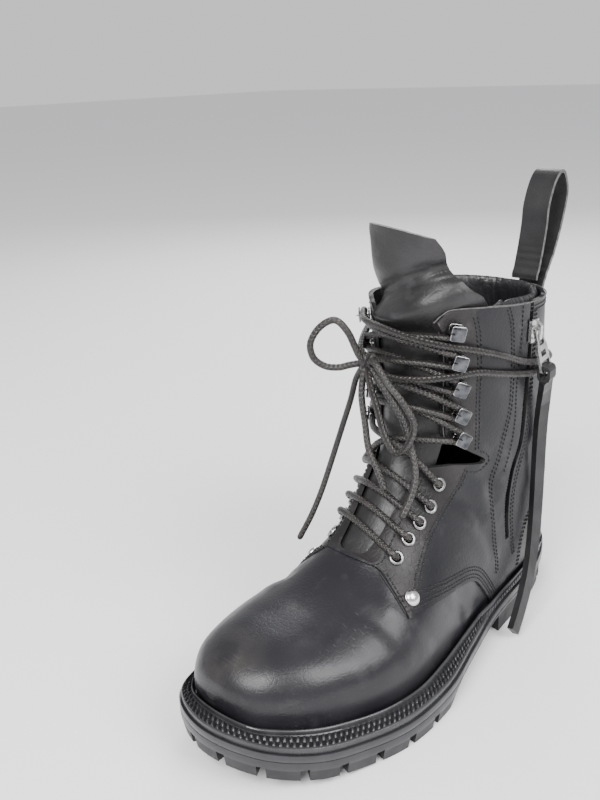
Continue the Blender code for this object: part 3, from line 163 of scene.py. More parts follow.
# Lines on the upper, seen from the side.
FACING_EDGE = [
    (-0.142, 0.316), (-0.130, 0.322), (-0.113, 0.344), (-0.084, 0.385), (-0.060, 0.420),
    (-0.025, 0.473), (0.009, 0.526),
]
ANKLE_NOTCH = [(0.057, 0.513), (0.120, 0.484), (0.131, 0.488), (0.128, 0.499), (0.099, 0.533)]
SHAFT_EDGE = [(0.059, 0.583), (0.047, 0.612), (0.047, 0.72), (0.043, 0.85), (0.034, 0.94)]
COLLAR_EDGE = [
    (0.028, 0.968), (0.036, 0.990), (0.053, 1.002), (0.12, 0.985), (0.203, 0.962),
    (0.30, 0.948), (0.408, 0.9385), (0.60, 0.935),
]
QUARTER_EDGE = [
    (-0.151, 0.202), (-0.087, 0.194), (-0.021, 0.176), (0.035, 0.158), (0.068, 0.132),
    (0.091, 0.090), (0.112, 0.04), (0.129, 0.0), (0.15, -0.12),
]
QUARTER_FRONT = [(-0.143, 0.270), (-0.138, 0.300)]
FACING_SEAM = [
    (-0.118, 0.233), (-0.090, 0.275), (-0.038, 0.340), (0.015, 0.397), (0.062, 0.439),
    (0.088, 0.489),
]
HOOK_SEAM = [(0.108, 0.535), (0.102, 0.703), (0.093, 0.895), (0.081, 0.980)]
NOTCH_SEAM = [(0.094, 0.470), (0.122, 0.460), (0.142, 0.482), (0.136, 0.510), (0.112, 0.535)]
PLACKET_SEAM = [
    (0.158, 0.966), (0.175, 0.893), (0.187, 0.663), (0.173, 0.535), (0.157, 0.440),
    (0.149, 0.341), (0.143, 0.243), (0.150, 0.076),
]
ZIP_FRONT_SEAM = [
    (0.211, 0.960), (0.211, 0.847), (0.205, 0.721), (0.210, 0.585), (0.205, 0.500),
    (0.185, 0.411),
]
ZIP_BACK_SEAM = [
    (0.263, 0.930), (0.262, 0.640), (0.256, 0.500), (0.236, 0.400), (0.222, 0.300),
    (0.218, 0.180), (0.224, 0.090),
]
COUNTER_SEAM = [(0.250, 0.030), (0.270, 0.130), (0.320, 0.230), (0.390, 0.290), (0.440, 0.310)]
CUFF_SEAM = [(0.115, 0.955), (0.160, 0.880), (0.220, 0.800), (0.300, 0.780), (0.400, 0.775)]
ZIP_LINE = [
    (0.241, 1.05), (0.238, 0.90), (0.237, 0.805), (0.234, 0.641), (0.231, 0.504),
    (0.208, 0.411), (0.196, 0.311), (0.191, 0.171), (0.198, 0.092), (0.176, -0.12),
]
ZIP_TOP = 0.93
ZIP_FOOT = 0.17

# The flanks as a sign of X and a word, then the fittings, the same on both.
FLANKS = ((1, "outer"), (-1, "inner"))
EYELETS = [(-0.104, 0.320), (-0.069, 0.356), (-0.037, 0.387), (-0.006, 0.419), (0.025, 0.468)]
HOOKS = [(0.072, 0.600), (0.070, 0.678), (0.066, 0.765), (0.060, 0.849), (0.054, 0.940)]
RIVET_AT = (-0.122, 0.233)

# The tongue, a row per station up to the collar: place up the last's rings, half width.
TONGUE_LOW = [
    # name, ring, half_width
    ("foot", 7.0, 0.017),
    ("throat", 7.7, 0.021),
    ("row_2", 8.6, 0.025),
    ("row_4", 9.8, 0.028),
    ("instep", 10.6, 0.029),
    ("notch_1", 11.4, 0.030),
    ("notch_2", 12.3, 0.031),
    ("notch_3", 13.3, 0.032),
    ("ankle", 15.0, 0.034),
    ("shaft", 16.6, 0.038),
    ("gusset", 18.2, 0.046),
    ("wing", 19.7, 0.058),
]

# Above the collar: rise over it, half width, how far the middle leans back, and how far
# the inner edge comes forward.
TONGUE_HIGH = [
    # name, rise, half_width, back, inner_forward
    ("collar", 0.004, 0.052, 0.0005, 0.0),
    ("neck", 0.011, 0.041, 0.0012, 0.001),
    ("flare_1", 0.019, 0.034, 0.002, 0.003),
    ("flare_2", 0.029, 0.030, 0.003, 0.005),
    ("flare_3", 0.038, 0.028, 0.004, 0.007),
    ("top", 0.044, 0.023, 0.004, 0.008),
]

# Middle line of the pull loop's strap, seen from the side: along +Y from LOOP_BACK of the
# length, and up from the collar.
LOOP_LINE = [
    (0.0010, -0.0330), (0.0012, -0.0210), (0.0055, -0.0090), (0.0150, 0.0060),
    (0.0240, 0.0270), (0.0278, 0.0430), (0.0235, 0.0545), (0.0175, 0.0562),
    (0.0105, 0.0500), (0.0046, 0.0370), (0.0032, 0.0250), (0.0005, 0.0120),
    (-0.0028, 0.0000), (-0.0062, -0.0085),
]

# The lace beyond the hooks: two turns round the ankle, then the free cords as points in the
# boot's own axes.
TURN_1 = [
    # side, along, up, lift over the leather
    (-1, 0.040, 0.965, 0.0040), (-1, 0.020, 0.955, 0.0045), (1, 0.014, 0.940, 0.0040),
    (1, 0.026, 0.918, 0.0045), (1, 0.052, 0.896, 0.0012), (1, 0.121, 0.848, 0.0),
    (1, 0.219, 0.778, 0.0), (1, 0.34, 0.735, 0.0), (1, 0.43, 0.715, 0.0), (-1, 0.43, 0.715, 0.0),
    (-1, 0.34, 0.735, 0.0), (-1, 0.219, 0.79, 0.0), (-1, 0.121, 0.855, 0.0),
    (-1, 0.070, 0.892, 0.0),
]
TURN_2 = [
    (-1, 0.018, 0.800, 0.0050), (1, 0.014, 0.802, 0.0055), (1, 0.028, 0.809, 0.0058),
    (1, 0.056, 0.811, 0.0022), (1, 0.085, 0.806, 0.0002), (1, 0.131, 0.782, 0.0),
    (1, 0.221, 0.740, 0.0),
    (1, 0.34, 0.70, 0.0), (1, 0.43, 0.68, 0.0), (-1, 0.43, 0.68, 0.0), (-1, 0.34, 0.70, 0.0),
    (-1, 0.219, 0.745, 0.0), (-1, 0.121, 0.785, 0.0), (-1, 0.072, 0.803, 0.0),
]
# Where each turn passes over the inner facing on its way to the knot, as shares.
WRAP_OVER = [(0.034, 0.862), (0.034, 0.812)]

# The knot, and the points of its loops and ends, near to far.
KNOT_AT = (-0.0150, -0.0050, 0.1820)
LOOP_OUT = [
    (-0.0186, -0.0086, 0.1859), (-0.023, -0.013, 0.200), (-0.029, -0.017, 0.207),
    (-0.036, -0.022, 0.203), (-0.040, -0.026, 0.194), (-0.039, -0.025, 0.185),
    (-0.035, -0.020, 0.1795), (-0.029, -0.015, 0.1785), (-0.0235, -0.0105, 0.1800),
]
LOOP_DOWN = [
    (-0.0065, -0.0105, 0.1850), (0.000, -0.0125, 0.1810), (0.006, -0.013, 0.1750),
    (0.015, -0.012, 0.166), (0.021, -0.010, 0.154), (0.019, -0.013, 0.142),
    (0.013, -0.016, 0.137), (0.006, -0.017, 0.146), (0.000, -0.016, 0.160),
    (-0.0085, -0.0125, 0.1745),
]
END_NEAR = [
    (-0.0092, -0.0084, 0.1785), (0.001, -0.0090, 0.168), (0.010, -0.007, 0.155),
    (0.016, -0.008, 0.144), (0.021, -0.010, 0.134), (0.0245, -0.013, 0.124),
    (0.026, -0.019, 0.115), (0.026, -0.028, 0.105),
]
END_MIDDLE = [
    (-0.0144, -0.0094, 0.1782), (-0.012, -0.015, 0.166), (-0.008, -0.017, 0.150),
    (-0.003, -0.020, 0.136), (0.006, -0.023, 0.126), (0.014, -0.027, 0.118),
]
END_FAR = [
    (-0.0202, -0.0033, 0.1781), (-0.027, -0.002, 0.168), (-0.032, -0.001, 0.154),
    (-0.036, -0.005, 0.136), (-0.038, -0.012, 0.118), (-0.039, -0.021, 0.100),
    (-0.041, -0.029, 0.085), (-0.045, -0.037, 0.070),
]

# From the boot's axes to the frame, which is centred on the CAD model's box.
SHIFT = np.array([-0.005542, -0.001262, 0.0])

# The fine skin: points round a ring, rings to a row of LAST, and where it ends, counted in
# LAST's rows. It runs a little past the last row.
FINE = 240
STEP = 10
SKIN_END = 20.61

# Fine rings: where the upper's working solids end, over the collar, and where the collar's
# columns start and end.
OVER_COLLAR = 204
PAD_START = 150
PAD_END = 203


def sole_top(y):
    """Height of the welt's top: level heel, a drop through the waist, toe spring."""
    share = np.asarray(y) / LENGTH
    drop = np.clip((share + 0.12) / 0.32, 0.0, 1.0)
    heel = (HEEL - FORE) * drop * drop * (3.0 - 2.0 * drop)
    return FORE + heel + SPRING * np.maximum(0.0, (-0.22 - share) / 0.28) ** 1.8


def from_side(place):
    """Y and Z of a place given as shares."""
    y = place[0] * LENGTH
    return (y, float(sole_top(y)) + place[1] * UPPER_HEIGHT)


def through(values, place):
    """A smooth curve through rows of values, read at places counted in rows."""
    rows = np.asarray(values, float)
    rows = rows.reshape(len(rows), -1)
    before = 2 * rows[0] - rows[1]
    after = 2 * rows[-1] - rows[-2]
    rows = np.vstack([before, rows, after, 3 * rows[-1] - 2 * rows[-2]])
    place = np.asarray(place, float)
    start = np.minimum(np.floor(place).astype(int), len(rows) - 4)
    part = (place - start)[:, None]
    a, b, c, d = (rows[start + step] for step in range(4))
    curve = 2 * a - 5 * b + 4 * c - d
    return 0.5 * (2 * b + (c - a) * part + curve * part**2 + (3 * b - a - 3 * c + d) * part**3)


def smooth_line(points, count):
    """Evenly spaced points on a smooth curve through a few points."""
    fine = through(points, np.linspace(0.0, len(points) - 1.0, 24 * len(points)))
    return spread(fine, count)


def spread(points, count):
    """A polyline's points, spread evenly."""
    points = np.asarray(points)
    steps = np.linalg.norm(np.diff(points, axis=0), axis=1)
    length = np.r_[0.0, np.cumsum(steps)]
    even = np.linspace(0.0, length[-1], count)
    return np.stack([np.interp(even, length, column) for column in points.T], axis=1)


def last_grid(place, points, grow=0.0):
    """The last's skin at rings counted in LAST's rows, moved out by grow, and its normals."""
    rows = through([row[1:] for row in LAST], place)
    angle = np.linspace(0.0, math.pi, 181)
    fall = np.abs(np.cos(angle))
    swell = np.clip(np.sin(angle), 0.0, 1.0)
    low = angle > math.pi / 2.0
    grid = []
    for top_y, top_z, back_y, back_z, outer, inner, middle, wide, round_top, round_low in rows:
        top = np.array([0.0, *from_side((top_y, top_z))])
        back = np.array([0.0, *from_side((back_y, back_z))])
        height = np.linalg.norm(back - top)
        power = np.where(low, round_low, round_top)
        down = np.where(
            low,
            wide * height + (1.0 - wide) * height * fall ** (2.0 / power),
            wide * height * (1.0 - fall ** (2.0 / power)),
        )
        flanks = []
        for width, side in ((max(outer, 0.01), 1.0), (max(inner, 0.01), -1.0)):
            reach = width * BALL * swell ** (2.0 / power)
            flank = np.stack([middle * BALL + side * reach, down], axis=1)
            flanks.append(spread(flank, points // 2 + 1))
        ring = np.vstack([flanks[0], flanks[1][-2:0:-1]])
        along = (back - top) / height
        skin = top + ring[:, 1:2] * along
        skin[:, 0] = ring[:, 0]
        grid.append(skin)
    grid = np.array(grid)
    across = np.roll(grid, -1, axis=1) - np.roll(grid, 1, axis=1)
    normal = np.cross(across, np.gradient(grid, axis=0))
    normal /= np.maximum(np.linalg.norm(normal, axis=2, keepdims=True), 1e-12)
    if ((grid - grid.mean(axis=1, keepdims=True)) * normal).sum() < 0.0:
        normal = -normal
    return grid + grow * normal, normal


# A fine copy of the skin, for placing things on it.
SKIN, NORMAL = last_grid(np.arange(0.0, SKIN_END, 1.0 / STEP), FINE)


def read_grid(grid, ring, roll):
    """A grid's value between its points; roll counts columns from the front, inner < 0."""
    i = min(max(int(math.floor(ring)), 0), len(grid) - 2)
    j = int(math.floor(roll))
    up = ring - i
    on = roll - j
    near = grid[i, j % FINE] * (1.0 - on) + grid[i, (j + 1) % FINE] * on
    far = grid[i + 1, j % FINE] * (1.0 - on) + grid[i + 1, (j + 1) % FINE] * on
    return near * (1.0 - up) + far * up


def point_at(ring, roll, grow=0.0):
    """A point over the skin, and the way out of it."""
    out = read_grid(NORMAL, ring, roll)
    out = out / np.linalg.norm(out)
    return read_grid(SKIN, ring, roll) + grow * out, out


def find(place, side):
    """Ring and roll of a place seen from the side, on the outer (1) or inner (-1) flank."""
    y, z = from_side(place)
    half = FINE // 2
    columns = np.arange(half + 1) if side > 0 else np.arange(FINE, half - 1, -1) % FINE
    flank = SKIN[:, columns]
    away = (flank[..., 1] - y) ** 2 + (flank[..., 2] - z) ** 2
    i, j = np.unravel_index(np.argmin(away), away.shape)
    i = int(np.clip(i, 1, len(flank) - 2))
    j = int(np.clip(j, 1, half - 1))
    up = (flank[i + 1, j] - flank[i - 1, j]) / 2.0
    on = (flank[i, j + 1] - flank[i, j - 1]) / 2.0
    gap = [y - flank[i, j, 1], z - flank[i, j, 2]]
    step = np.linalg.solve([[up[1], on[1]], [up[2], on[2]]], gap)
    step = np.clip(step, -1.0, 1.0)
    return i + step[0], side * (j + step[1])


def moved(ring, roll, distance):
    """Roll after a walk round the ring, away from the front where distance is positive."""
    side = 1.0 if roll >= 0.0 else -1.0
    near = read_grid(SKIN, ring, roll - 0.5 * side)
    far = read_grid(SKIN, ring, roll + 0.5 * side)
    return roll + side * distance / np.linalg.norm(far - near)


def frame_at(place, side, grow):
    """A matrix on the upper: X away from the front, Y along the skin, Z out of it."""
    ring, roll = find(place, side)
    spot, out = point_at(ring, roll, grow)
    back = read_grid(SKIN, ring, roll + side) - read_grid(SKIN, ring, roll - side)
    back -= out * np.dot(back, out)
    back /= np.linalg.norm(back)
    along = np.cross(out, back)
    turn = Matrix([(*axis, 0.0) for axis in (back, along, out)] + [(0.0, 0.0, 0.0, 1.0)])
    return Matrix.Translation(Vector(spot)) @ turn.transposed()


def skin_level(side):
    """How far the facing stands over the last's own skin."""
    return QUARTER + (FLAP if side > 0 else 0.0)


def halves(points, count):
    """A closed outline as even points: heel to toe on the outer side, back on the inner."""
    points = np.asarray(points)
    points = np.roll(points, -int(np.argmax(points[:, 1])), axis=0)
    toe = int(np.argmin(points[:, 1]))
    first = points[: toe + 1]
    second = np.vstack([points[toe:], points[:1]])
    if first[:, 0].mean() < second[:, 0].mean():
        first, second = second[::-1], first[::-1]
    return np.vstack([spread(first, count // 2 + 1)[:-1], spread(second, count // 2 + 1)[:-1]])


def smooth_loop(points, count):
    """A closed smooth curve through uneven points."""
    points = np.asarray(points, float)
    gap = np.linalg.norm(np.roll(points, -1, axis=0) - points, axis=1)[:, None]
    slope = (np.roll(points, -1, axis=0) - points) / gap
    before = np.roll(slope, 1, axis=0)
    gap_before = np.roll(gap, 1, axis=0)
    tangent = (slope * gap_before + before * gap) / (gap + gap_before)
    part = np.linspace(0.0, 1.0, 20, endpoint=False)[:, None]
    curve = []
    for i in range(len(points)):
        after = (i + 1) % len(points)
        curve.append(
            (2 * part**3 - 3 * part**2 + 1) * points[i]
            + (part**3 - 2 * part**2 + part) * tangent[i] * gap[i]
            + (3 * part**2 - 2 * part**3) * points[after]
            + (part**3 - part**2) * tangent[after] * gap[i]
        )
    return halves(np.vstack(curve), count)


def widened(ring, distance):
    """A closed outline moved outwards."""
    along = np.roll(ring, -1, axis=0) - np.roll(ring, 1, axis=0)
    out = np.stack([along[:, 1], -along[:, 0]], axis=1)
    out /= np.linalg.norm(out, axis=1, keepdims=True)
    if (out * (ring - ring.mean(axis=0))).sum() < 0.0:
        out = -out
    return ring + out * distance


def sole_outline(count):
    """The sole's outline from SOLE's rows."""
    outer = [(row[2] * BALL, row[1] * LENGTH) for row in SOLE]
    inner = [(-row[3] * BALL, row[1] * LENGTH) for row in SOLE[1:-1]]
    return smooth_loop(outer + inner[::-1], count)


def feather(depth, count, grow=0.0):
    """Where the last's skin crosses a height under the welt's top."""
    grid, _ = last_grid(np.linspace(0.0, 14.5, 146), 160, grow)
    over = grid[..., 2] - sole_top(grid[..., 1]) + depth
    found = []
    for axis in (0, 1):
        after = np.roll(grid, -1, axis=axis)
        other = np.roll(over, -1, axis=axis)
        crossed = over * other < 0.0
        if axis == 0:
            crossed[-1] = False
        part = (over[crossed] / (over[crossed] - other[crossed]))[:, None]
        found.append((grid[crossed] + (after[crossed] - grid[crossed]) * part)[:, :2])
    points = np.vstack(found)
    turn = np.arctan2(points[:, 1], points[:, 0])
    return halves(points[np.argsort(turn)], count)


def upper_foot(depth, count):
    """The upper's own outline at a height under the welt's top, with the quarters' step."""
    vamp = feather(depth, count)
    quarters = feather(depth, count, QUARTER + FLAP)
    start = QUARTER_EDGE[-3][0] * LENGTH
    part = np.clip((vamp[:, 1:] - start + 0.012) / 0.012, 0.0, 1.0)
    return vamp + (quarters - vamp) * part


def tread(y):
    """Height of the forefoot's tread: flat at the ball, then toe spring."""
    share = y / LENGTH
    return float(SPRING * max(0.0, (-0.22 - share) / 0.28) ** 1.8)


def midsole_top(y):
    """Height of the midsole's top, just under the welt."""
    return float(sole_top(y)) - WELT - GAP


def midsole_foot(y):
    """Height of the midsole's underside."""
    return midsole_top(y) - MIDSOLE


def outsole_top(y):
    """Height of the outsole's top, just under the midsole."""
    return midsole_foot(y) - GAP


def outsole_foot(y):
    """Tread under the forefoot, then up to the arch and level over the heel block."""
    share = y / LENGTH
    up = min(max((share + 0.105) / 0.05, 0.0), 1.0)
    arch = min(float(sole_top(y)) - ARCH, HEEL_BLOCK + GAP + 0.0006)
    seat = HEEL_BLOCK + GAP
    to_heel = min(max((share - 0.05) / 0.08, 0.0), 1.0)
    return tread(y) * (1.0 - up) + (arch + (seat - arch) * to_heel) * up


def outsole_band(y):
    """Lower edge of the smooth side band."""
    return outsole_top(y) + (outsole_foot(y) - outsole_top(y)) * 0.42


def walk(ring, reach):
    """Roll at a distance round a ring from the front, inner side negative."""
    roll = 0.0
    side = 1.0 if reach >= 0.0 else -1.0
    left = abs(reach)
    while left > 1e-9:
        near = read_grid(SKIN, ring, roll)
        far = read_grid(SKIN, ring, roll + side)
        length = np.linalg.norm(far - near)
        part = min(1.0, left / length)
        roll += side * part
        left -= length * part
    return roll


# Finishes. STROKE is the colour of fine rubbed lines, COAT_ROUGH how dull a wax coat is.
STROKE = (0.075, 0.070, 0.072)
COAT_ROUGH = 0.25


def finish(name, dark, light, rough, patch=28.0, grain=0.0, grain_size=1500.0, wrinkle=0.0,
           wrinkle_size=260.0, metallic=0.0, coat=0.0, braid=0.0, scuff=None, shine=0.4,
           painted_light=(), strokes=0.0):
    """A Principled material with cloudy colour, uneven gloss, fine grain and small wrinkles."""
    made = bpy.data.materials.new(f"{name}_finish")
    made.use_nodes = True
    nodes = made.node_tree.nodes
    links = made.node_tree.links
    shader = nodes["Principled BSDF"]
    place = nodes.new("ShaderNodeTexCoord").outputs["Object"]

    def cloud(scale, detail=4.0):
        """Noise in the piece's own space."""
        node = nodes.new("ShaderNodeTexNoise")
        node.inputs["Scale"].default_value = scale
        node.inputs["Detail"].default_value = detail
        links.new(place, node.inputs["Vector"])
        return node.outputs["Fac"]

    def spread_to(value, low, high, start=0.35, end=0.65):
        """A value from start to end, stretched to run from low to high."""
        node = nodes.new("ShaderNodeMapRange")
        node.inputs["From Min"].default_value = start
        node.inputs["From Max"].default_value = end
        node.inputs["To Min"].default_value = low
        node.inputs["To Max"].default_value = high
        links.new(value, node.inputs["Value"])
        return node.outputs["Result"]

    def blend(factor, first, second):
        """A mix of two colours, each a value or a socket."""
        node = nodes.new("ShaderNodeMix")
        node.data_type = "RGBA"
        links.new(factor, node.inputs[0])
        for socket, value in ((node.inputs[6], first), (node.inputs[7], second)):
            if isinstance(value, tuple):
                socket.default_value = (*value, 1.0)
            else:
                links.new(value, socket)
        return node.outputs[2]

    def bump(height, depth, before=None):
        """A bump of a real depth, on top of an earlier one."""
        node = nodes.new("ShaderNodeBump")
        node.inputs["Strength"].default_value = 1.0
        node.inputs["Distance"].default_value = depth
        links.new(height, node.inputs["Height"])
        if before is not None:
            links.new(before, node.inputs["Normal"])
        return node.outputs["Normal"]

    colour = blend(spread_to(cloud(patch), 0.0, 1.0), dark, light)
    if scuff is not None:
        colour = blend(spread_to(cloud(75.0, 8.0), 0.0, 0.7, 0.58, 0.72), colour, scuff)
    # Painted light: soft patches round given centres, each blended to its own colour of painted
    # highlight and painted reflection.
    for middle, reach, painted_colour in painted_light:
        gap = nodes.new("ShaderNodeVectorMath")
        gap.operation = "DISTANCE"
        links.new(place, gap.inputs[0])
        gap.inputs[1].default_value = middle
        painted_light_mask = nodes.new("ShaderNodeMath")
        painted_light_mask.operation = "MULTIPLY"
        links.new(spread_to(gap.outputs["Value"], 1.0, 0.0, 0.35 * reach, reach), painted_light_mask.inputs[0])
        links.new(spread_to(cloud(60.0, 6.0), 0.2, 1.0), painted_light_mask.inputs[1])
        colour = blend(painted_light_mask.outputs[0], colour, painted_colour)
    if strokes:
        turn = nodes.new("ShaderNodeMapping")
        turn.inputs["Rotation"].default_value = (0.4, 0.9, 0.7)
        turn.inputs["Scale"].default_value = (60.0, 900.0, 500.0)
        links.new(place, turn.inputs["Vector"])
        lines = nodes.new("ShaderNodeTexNoise")
        lines.inputs["Scale"].default_value = 1.0
        lines.inputs["Detail"].default_value = 3.0
        links.new(turn.outputs["Vector"], lines.inputs["Vector"])
        both = nodes.new("ShaderNodeMath")
        both.operation = "MULTIPLY"
        links.new(spread_to(lines.outputs["Fac"], 0.0, strokes, 0.60, 0.75), both.inputs[0])
        links.new(spread_to(cloud(32.0, 3.0), 0.0, 1.0, 0.50, 0.62), both.inputs[1])
        colour = blend(both.outputs[0], colour, STROKE)
    links.new(colour, shader.inputs["Base Color"])
    links.new(spread_to(cloud(patch * 1.7), rough - 0.06, rough + 0.08), shader.inputs["Roughness"])
    shader.inputs["Metallic"].default_value = metallic
    shader.inputs["Specular IOR Level"].default_value = shine
    shader.inputs["Coat Weight"].default_value = coat
    shader.inputs["Coat Roughness"].default_value = COAT_ROUGH
    normal = None
    if wrinkle:
        cells = nodes.new("ShaderNodeTexVoronoi")
        cells.feature = "DISTANCE_TO_EDGE"
        cells.inputs["Scale"].default_value = wrinkle_size
        links.new(place, cells.inputs["Vector"])
        normal = bump(spread_to(cells.outputs["Distance"], 0.0, 1.0, 0.0, 0.16), wrinkle)
    if grain:
        normal = bump(cloud(grain_size, 2.0), grain, normal)
    if braid:
        normal = bump(braid_height(nodes, links), braid, normal)
    if normal is not None:
        links.new(normal, shader.inputs["Normal"])
    return made


def braid_height(nodes, links):
    """Crossed strands from a cord's own UV map: along it in strand widths, and round it."""
    chart = nodes.new("ShaderNodeUVMap")
    parts = nodes.new("ShaderNodeSeparateXYZ")
    links.new(chart.outputs["UV"], parts.inputs["Vector"])
    waves = []
    for way in (1.0, -1.0):
        scale = nodes.new("ShaderNodeMath")
        scale.operation = "MULTIPLY_ADD"
        links.new(parts.outputs["Y"], scale.inputs[0])
        scale.inputs[1].default_value = way
        links.new(parts.outputs["X"], scale.inputs[2])
        wave = nodes.new("ShaderNodeMath")
        wave.operation = "SINE"
        links.new(scale.outputs[0], wave.inputs[0])
        waves.append(wave.outputs[0])
    both = nodes.new("ShaderNodeMath")
    both.operation = "MAXIMUM"
    links.new(waves[0], both.inputs[0])
    links.new(waves[1], both.inputs[1])
    return both.outputs[0]


# Painted light on the toe, as soft patches: centre, reach, colour. A dark bluish painted reflection
# over the toe box's top, lighter painted highlights on its front and outer side.
TOE_PAINTED_LIGHT = (
    ((-0.010, -0.105, 0.092), 0.045, (0.0045, 0.0045, 0.0100)),
    ((-0.012, -0.136, 0.066), 0.028, (0.034, 0.030, 0.029)),
    ((0.020, -0.100, 0.078), 0.030, (0.026, 0.024, 0.028)),
)
LEATHER = finish(
    "black_leather", (0.0050, 0.0050, 0.0075), (0.013, 0.0125, 0.015), rough=0.34, patch=20.0,
    grain=0.00003, grain_size=1500.0, wrinkle=0.00003, wrinkle_size=330.0, coat=0.10,
    scuff=(0.030, 0.028, 0.031), painted_light=TOE_PAINTED_LIGHT, strokes=0.5, shine=0.34,
)
QUARTERS = finish(
    "quarter_leather", (0.0055, 0.0055, 0.0075), (0.011, 0.011, 0.013), rough=0.40, patch=26.0,
    grain=0.00004, grain_size=1400.0, wrinkle=0.00004, wrinkle_size=300.0, coat=0.04,
    scuff=(0.024, 0.023, 0.026), shine=0.28,
)
FACING = finish(
    "facing_leather", (0.0095, 0.0085, 0.0088), (0.021, 0.0185, 0.0190), rough=0.40, patch=40.0,
    grain=0.00005, grain_size=1300.0, wrinkle=0.00006, wrinkle_size=280.0,
    scuff=(0.045, 0.041, 0.041), shine=0.32,
)
TONGUE_SKIN = finish(
    "tongue_leather", (0.0090, 0.0085, 0.0090), (0.021, 0.0195, 0.0205), rough=0.42, patch=35.0,
    grain=0.00005, grain_size=1200.0, wrinkle=0.00005, wrinkle_size=230.0,
    scuff=(0.04, 0.038, 0.039),
)
# Raw cut edges: a light grey, partly the raw edge's own colour and partly a painted highlight where
# the edges catch the light.
RAW_EDGE_AND_HIGHLIGHT = finish(
    "raw_edge_and_painted_highlight", (0.05, 0.049, 0.050), (0.11, 0.108, 0.108), rough=0.55, patch=300.0,
    grain=0.00006, grain_size=2500.0,
)
# Painted shadow: near-black for lines and faces where a layer's edge meets the leather under it.
PAINTED_SHADOW_LINE = finish(
    "painted_shadow_line", (0.0040, 0.0040, 0.0045), (0.008, 0.008, 0.009), rough=0.55, patch=200.0,
    grain=0.00005, grain_size=2500.0,
)
LINING = finish(
    "lining", (0.0070, 0.0070, 0.0072), (0.013, 0.0125, 0.0125), rough=0.62, patch=60.0,
    grain=0.00006, grain_size=1600.0,
)
PADDING = finish(
    "padded_leather", (0.0070, 0.0070, 0.0080), (0.015, 0.0148, 0.016), rough=0.36, patch=45.0,
    grain=0.00004, grain_size=1500.0, wrinkle=0.00008, wrinkle_size=200.0, coat=0.1,
)
STRAP = finish(
    "strap_leather", (0.0080, 0.0078, 0.0085), (0.016, 0.0155, 0.0165), rough=0.42, patch=50.0,
    grain=0.00004, grain_size=1500.0, wrinkle=0.00003, wrinkle_size=420.0,
)
RUBBER = finish(
    "black_rubber", (0.0080, 0.0080, 0.0090), (0.014, 0.014, 0.0155), rough=0.50, patch=60.0,
    grain=0.00003, grain_size=2200.0, scuff=(0.03, 0.03, 0.03),
)
BAND = finish(
    "side_band_rubber", (0.016, 0.016, 0.018), (0.025, 0.025, 0.028), rough=0.34, patch=60.0,
    grain=0.00002, grain_size=2200.0, shine=0.5,
)
# Painted highlight: a lighter copy of the welt's black rubber for its bead, knurl tops and rim.
LIT_WELT_RUBBER = finish(
    "welt_rubber", (0.018, 0.018, 0.020), (0.032, 0.032, 0.035), rough=0.30, patch=90.0,
    grain=0.00002, grain_size=2200.0, shine=0.55,
)
BOARD = finish(
    "insole_board", (0.20, 0.15, 0.10), (0.26, 0.20, 0.14), rough=0.75, patch=90.0, grain=0.0001,
    grain_size=1200.0,
)
NICKEL = finish(
    "nickel", (0.55, 0.54, 0.53), (0.78, 0.77, 0.76), rough=0.22, patch=220.0, grain=0.00001,
    grain_size=3000.0, metallic=1.0,
)
AGED_NICKEL = finish(
    "aged_nickel", (0.16, 0.16, 0.16), (0.40, 0.395, 0.39), rough=0.26, patch=260.0,
    grain=0.00001, grain_size=3000.0, metallic=1.0,
)
GUNMETAL = finish(
    "gunmetal", (0.050, 0.052, 0.058), (0.13, 0.132, 0.14), rough=0.30, patch=200.0,
    grain=0.00001, grain_size=3000.0, metallic=1.0,
)
TAPE = finish(
    "zip_tape_cloth", (0.0060, 0.0060, 0.0065), (0.012, 0.012, 0.0125), rough=0.85, patch=400.0,
    grain=0.0001, grain_size=2600.0,
)
THREAD = finish(
    "stitch_thread", (0.0025, 0.0025, 0.0028), (0.007, 0.0068, 0.007), rough=0.5, patch=500.0,
    grain=0.00004, grain_size=4000.0,
)
LACE = finish(
    "waxed_lace", (0.0100, 0.0085, 0.0078), (0.024, 0.0205, 0.0185), rough=0.38, patch=150.0,
    grain=0.00002, grain_size=3000.0, braid=0.00016, shine=0.55,
)


def linked(name, data):
    """An object for some data, in the scene."""
    made = bpy.data.objects.new(name, data)
    bpy.context.scene.collection.objects.link(made)
    return made


def face_values(mesh, what):
    """The centres or normals of a mesh's faces."""
    values = np.empty(len(mesh.polygons) * 3)
    mesh.polygons.foreach_get(what, values)
    return values.reshape(-1, 3)


def gather(vertices, faces, part, sides):
    """Put one part's points and faces at the end of lists of them."""
    base = len(vertices)
    vertices.extend(part)
    faces.extend(tuple(base + k for k in face) for face in sides)


def add(name, vertices, faces, finishes, index=None, angle=35.0, nodes=(), body="boot", uvs=None):
    """A piece from points in the boot's axes: smooth, with sharp edges, riding on a body."""
    mesh = bpy.data.meshes.new(name)
    mesh.from_pydata((np.asarray(vertices) + SHIFT).tolist(), [], faces)
    if uvs is not None:
        layer = mesh.uv_layers.new(name="UVMap")
        loops = np.empty(len(mesh.loops), dtype=int)
        mesh.loops.foreach_get("vertex_index", loops)
        layer.data.foreach_set("uv", np.asarray(uvs)[loops].ravel())
    return dress(linked(name, mesh), finishes, index, angle, nodes, body)


def dress(made, finishes, index=None, angle=35.0, nodes=(), body="boot"):
    """Materials, smooth shading and place in the frame for a piece."""
    mesh = made.data
    mesh.materials.clear()
    for material in finishes:
        mesh.materials.append(material)
    count = len(mesh.polygons)
    mesh.polygons.foreach_set("material_index", [0] * count if index is None else index)
    mesh.polygons.foreach_set("use_smooth", [True] * count)
    mesh.set_sharp_from_angle(angle=math.radians(angle))
    mesh.update()
    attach(made, body)
    if nodes:
        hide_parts(*nodes)
    return made


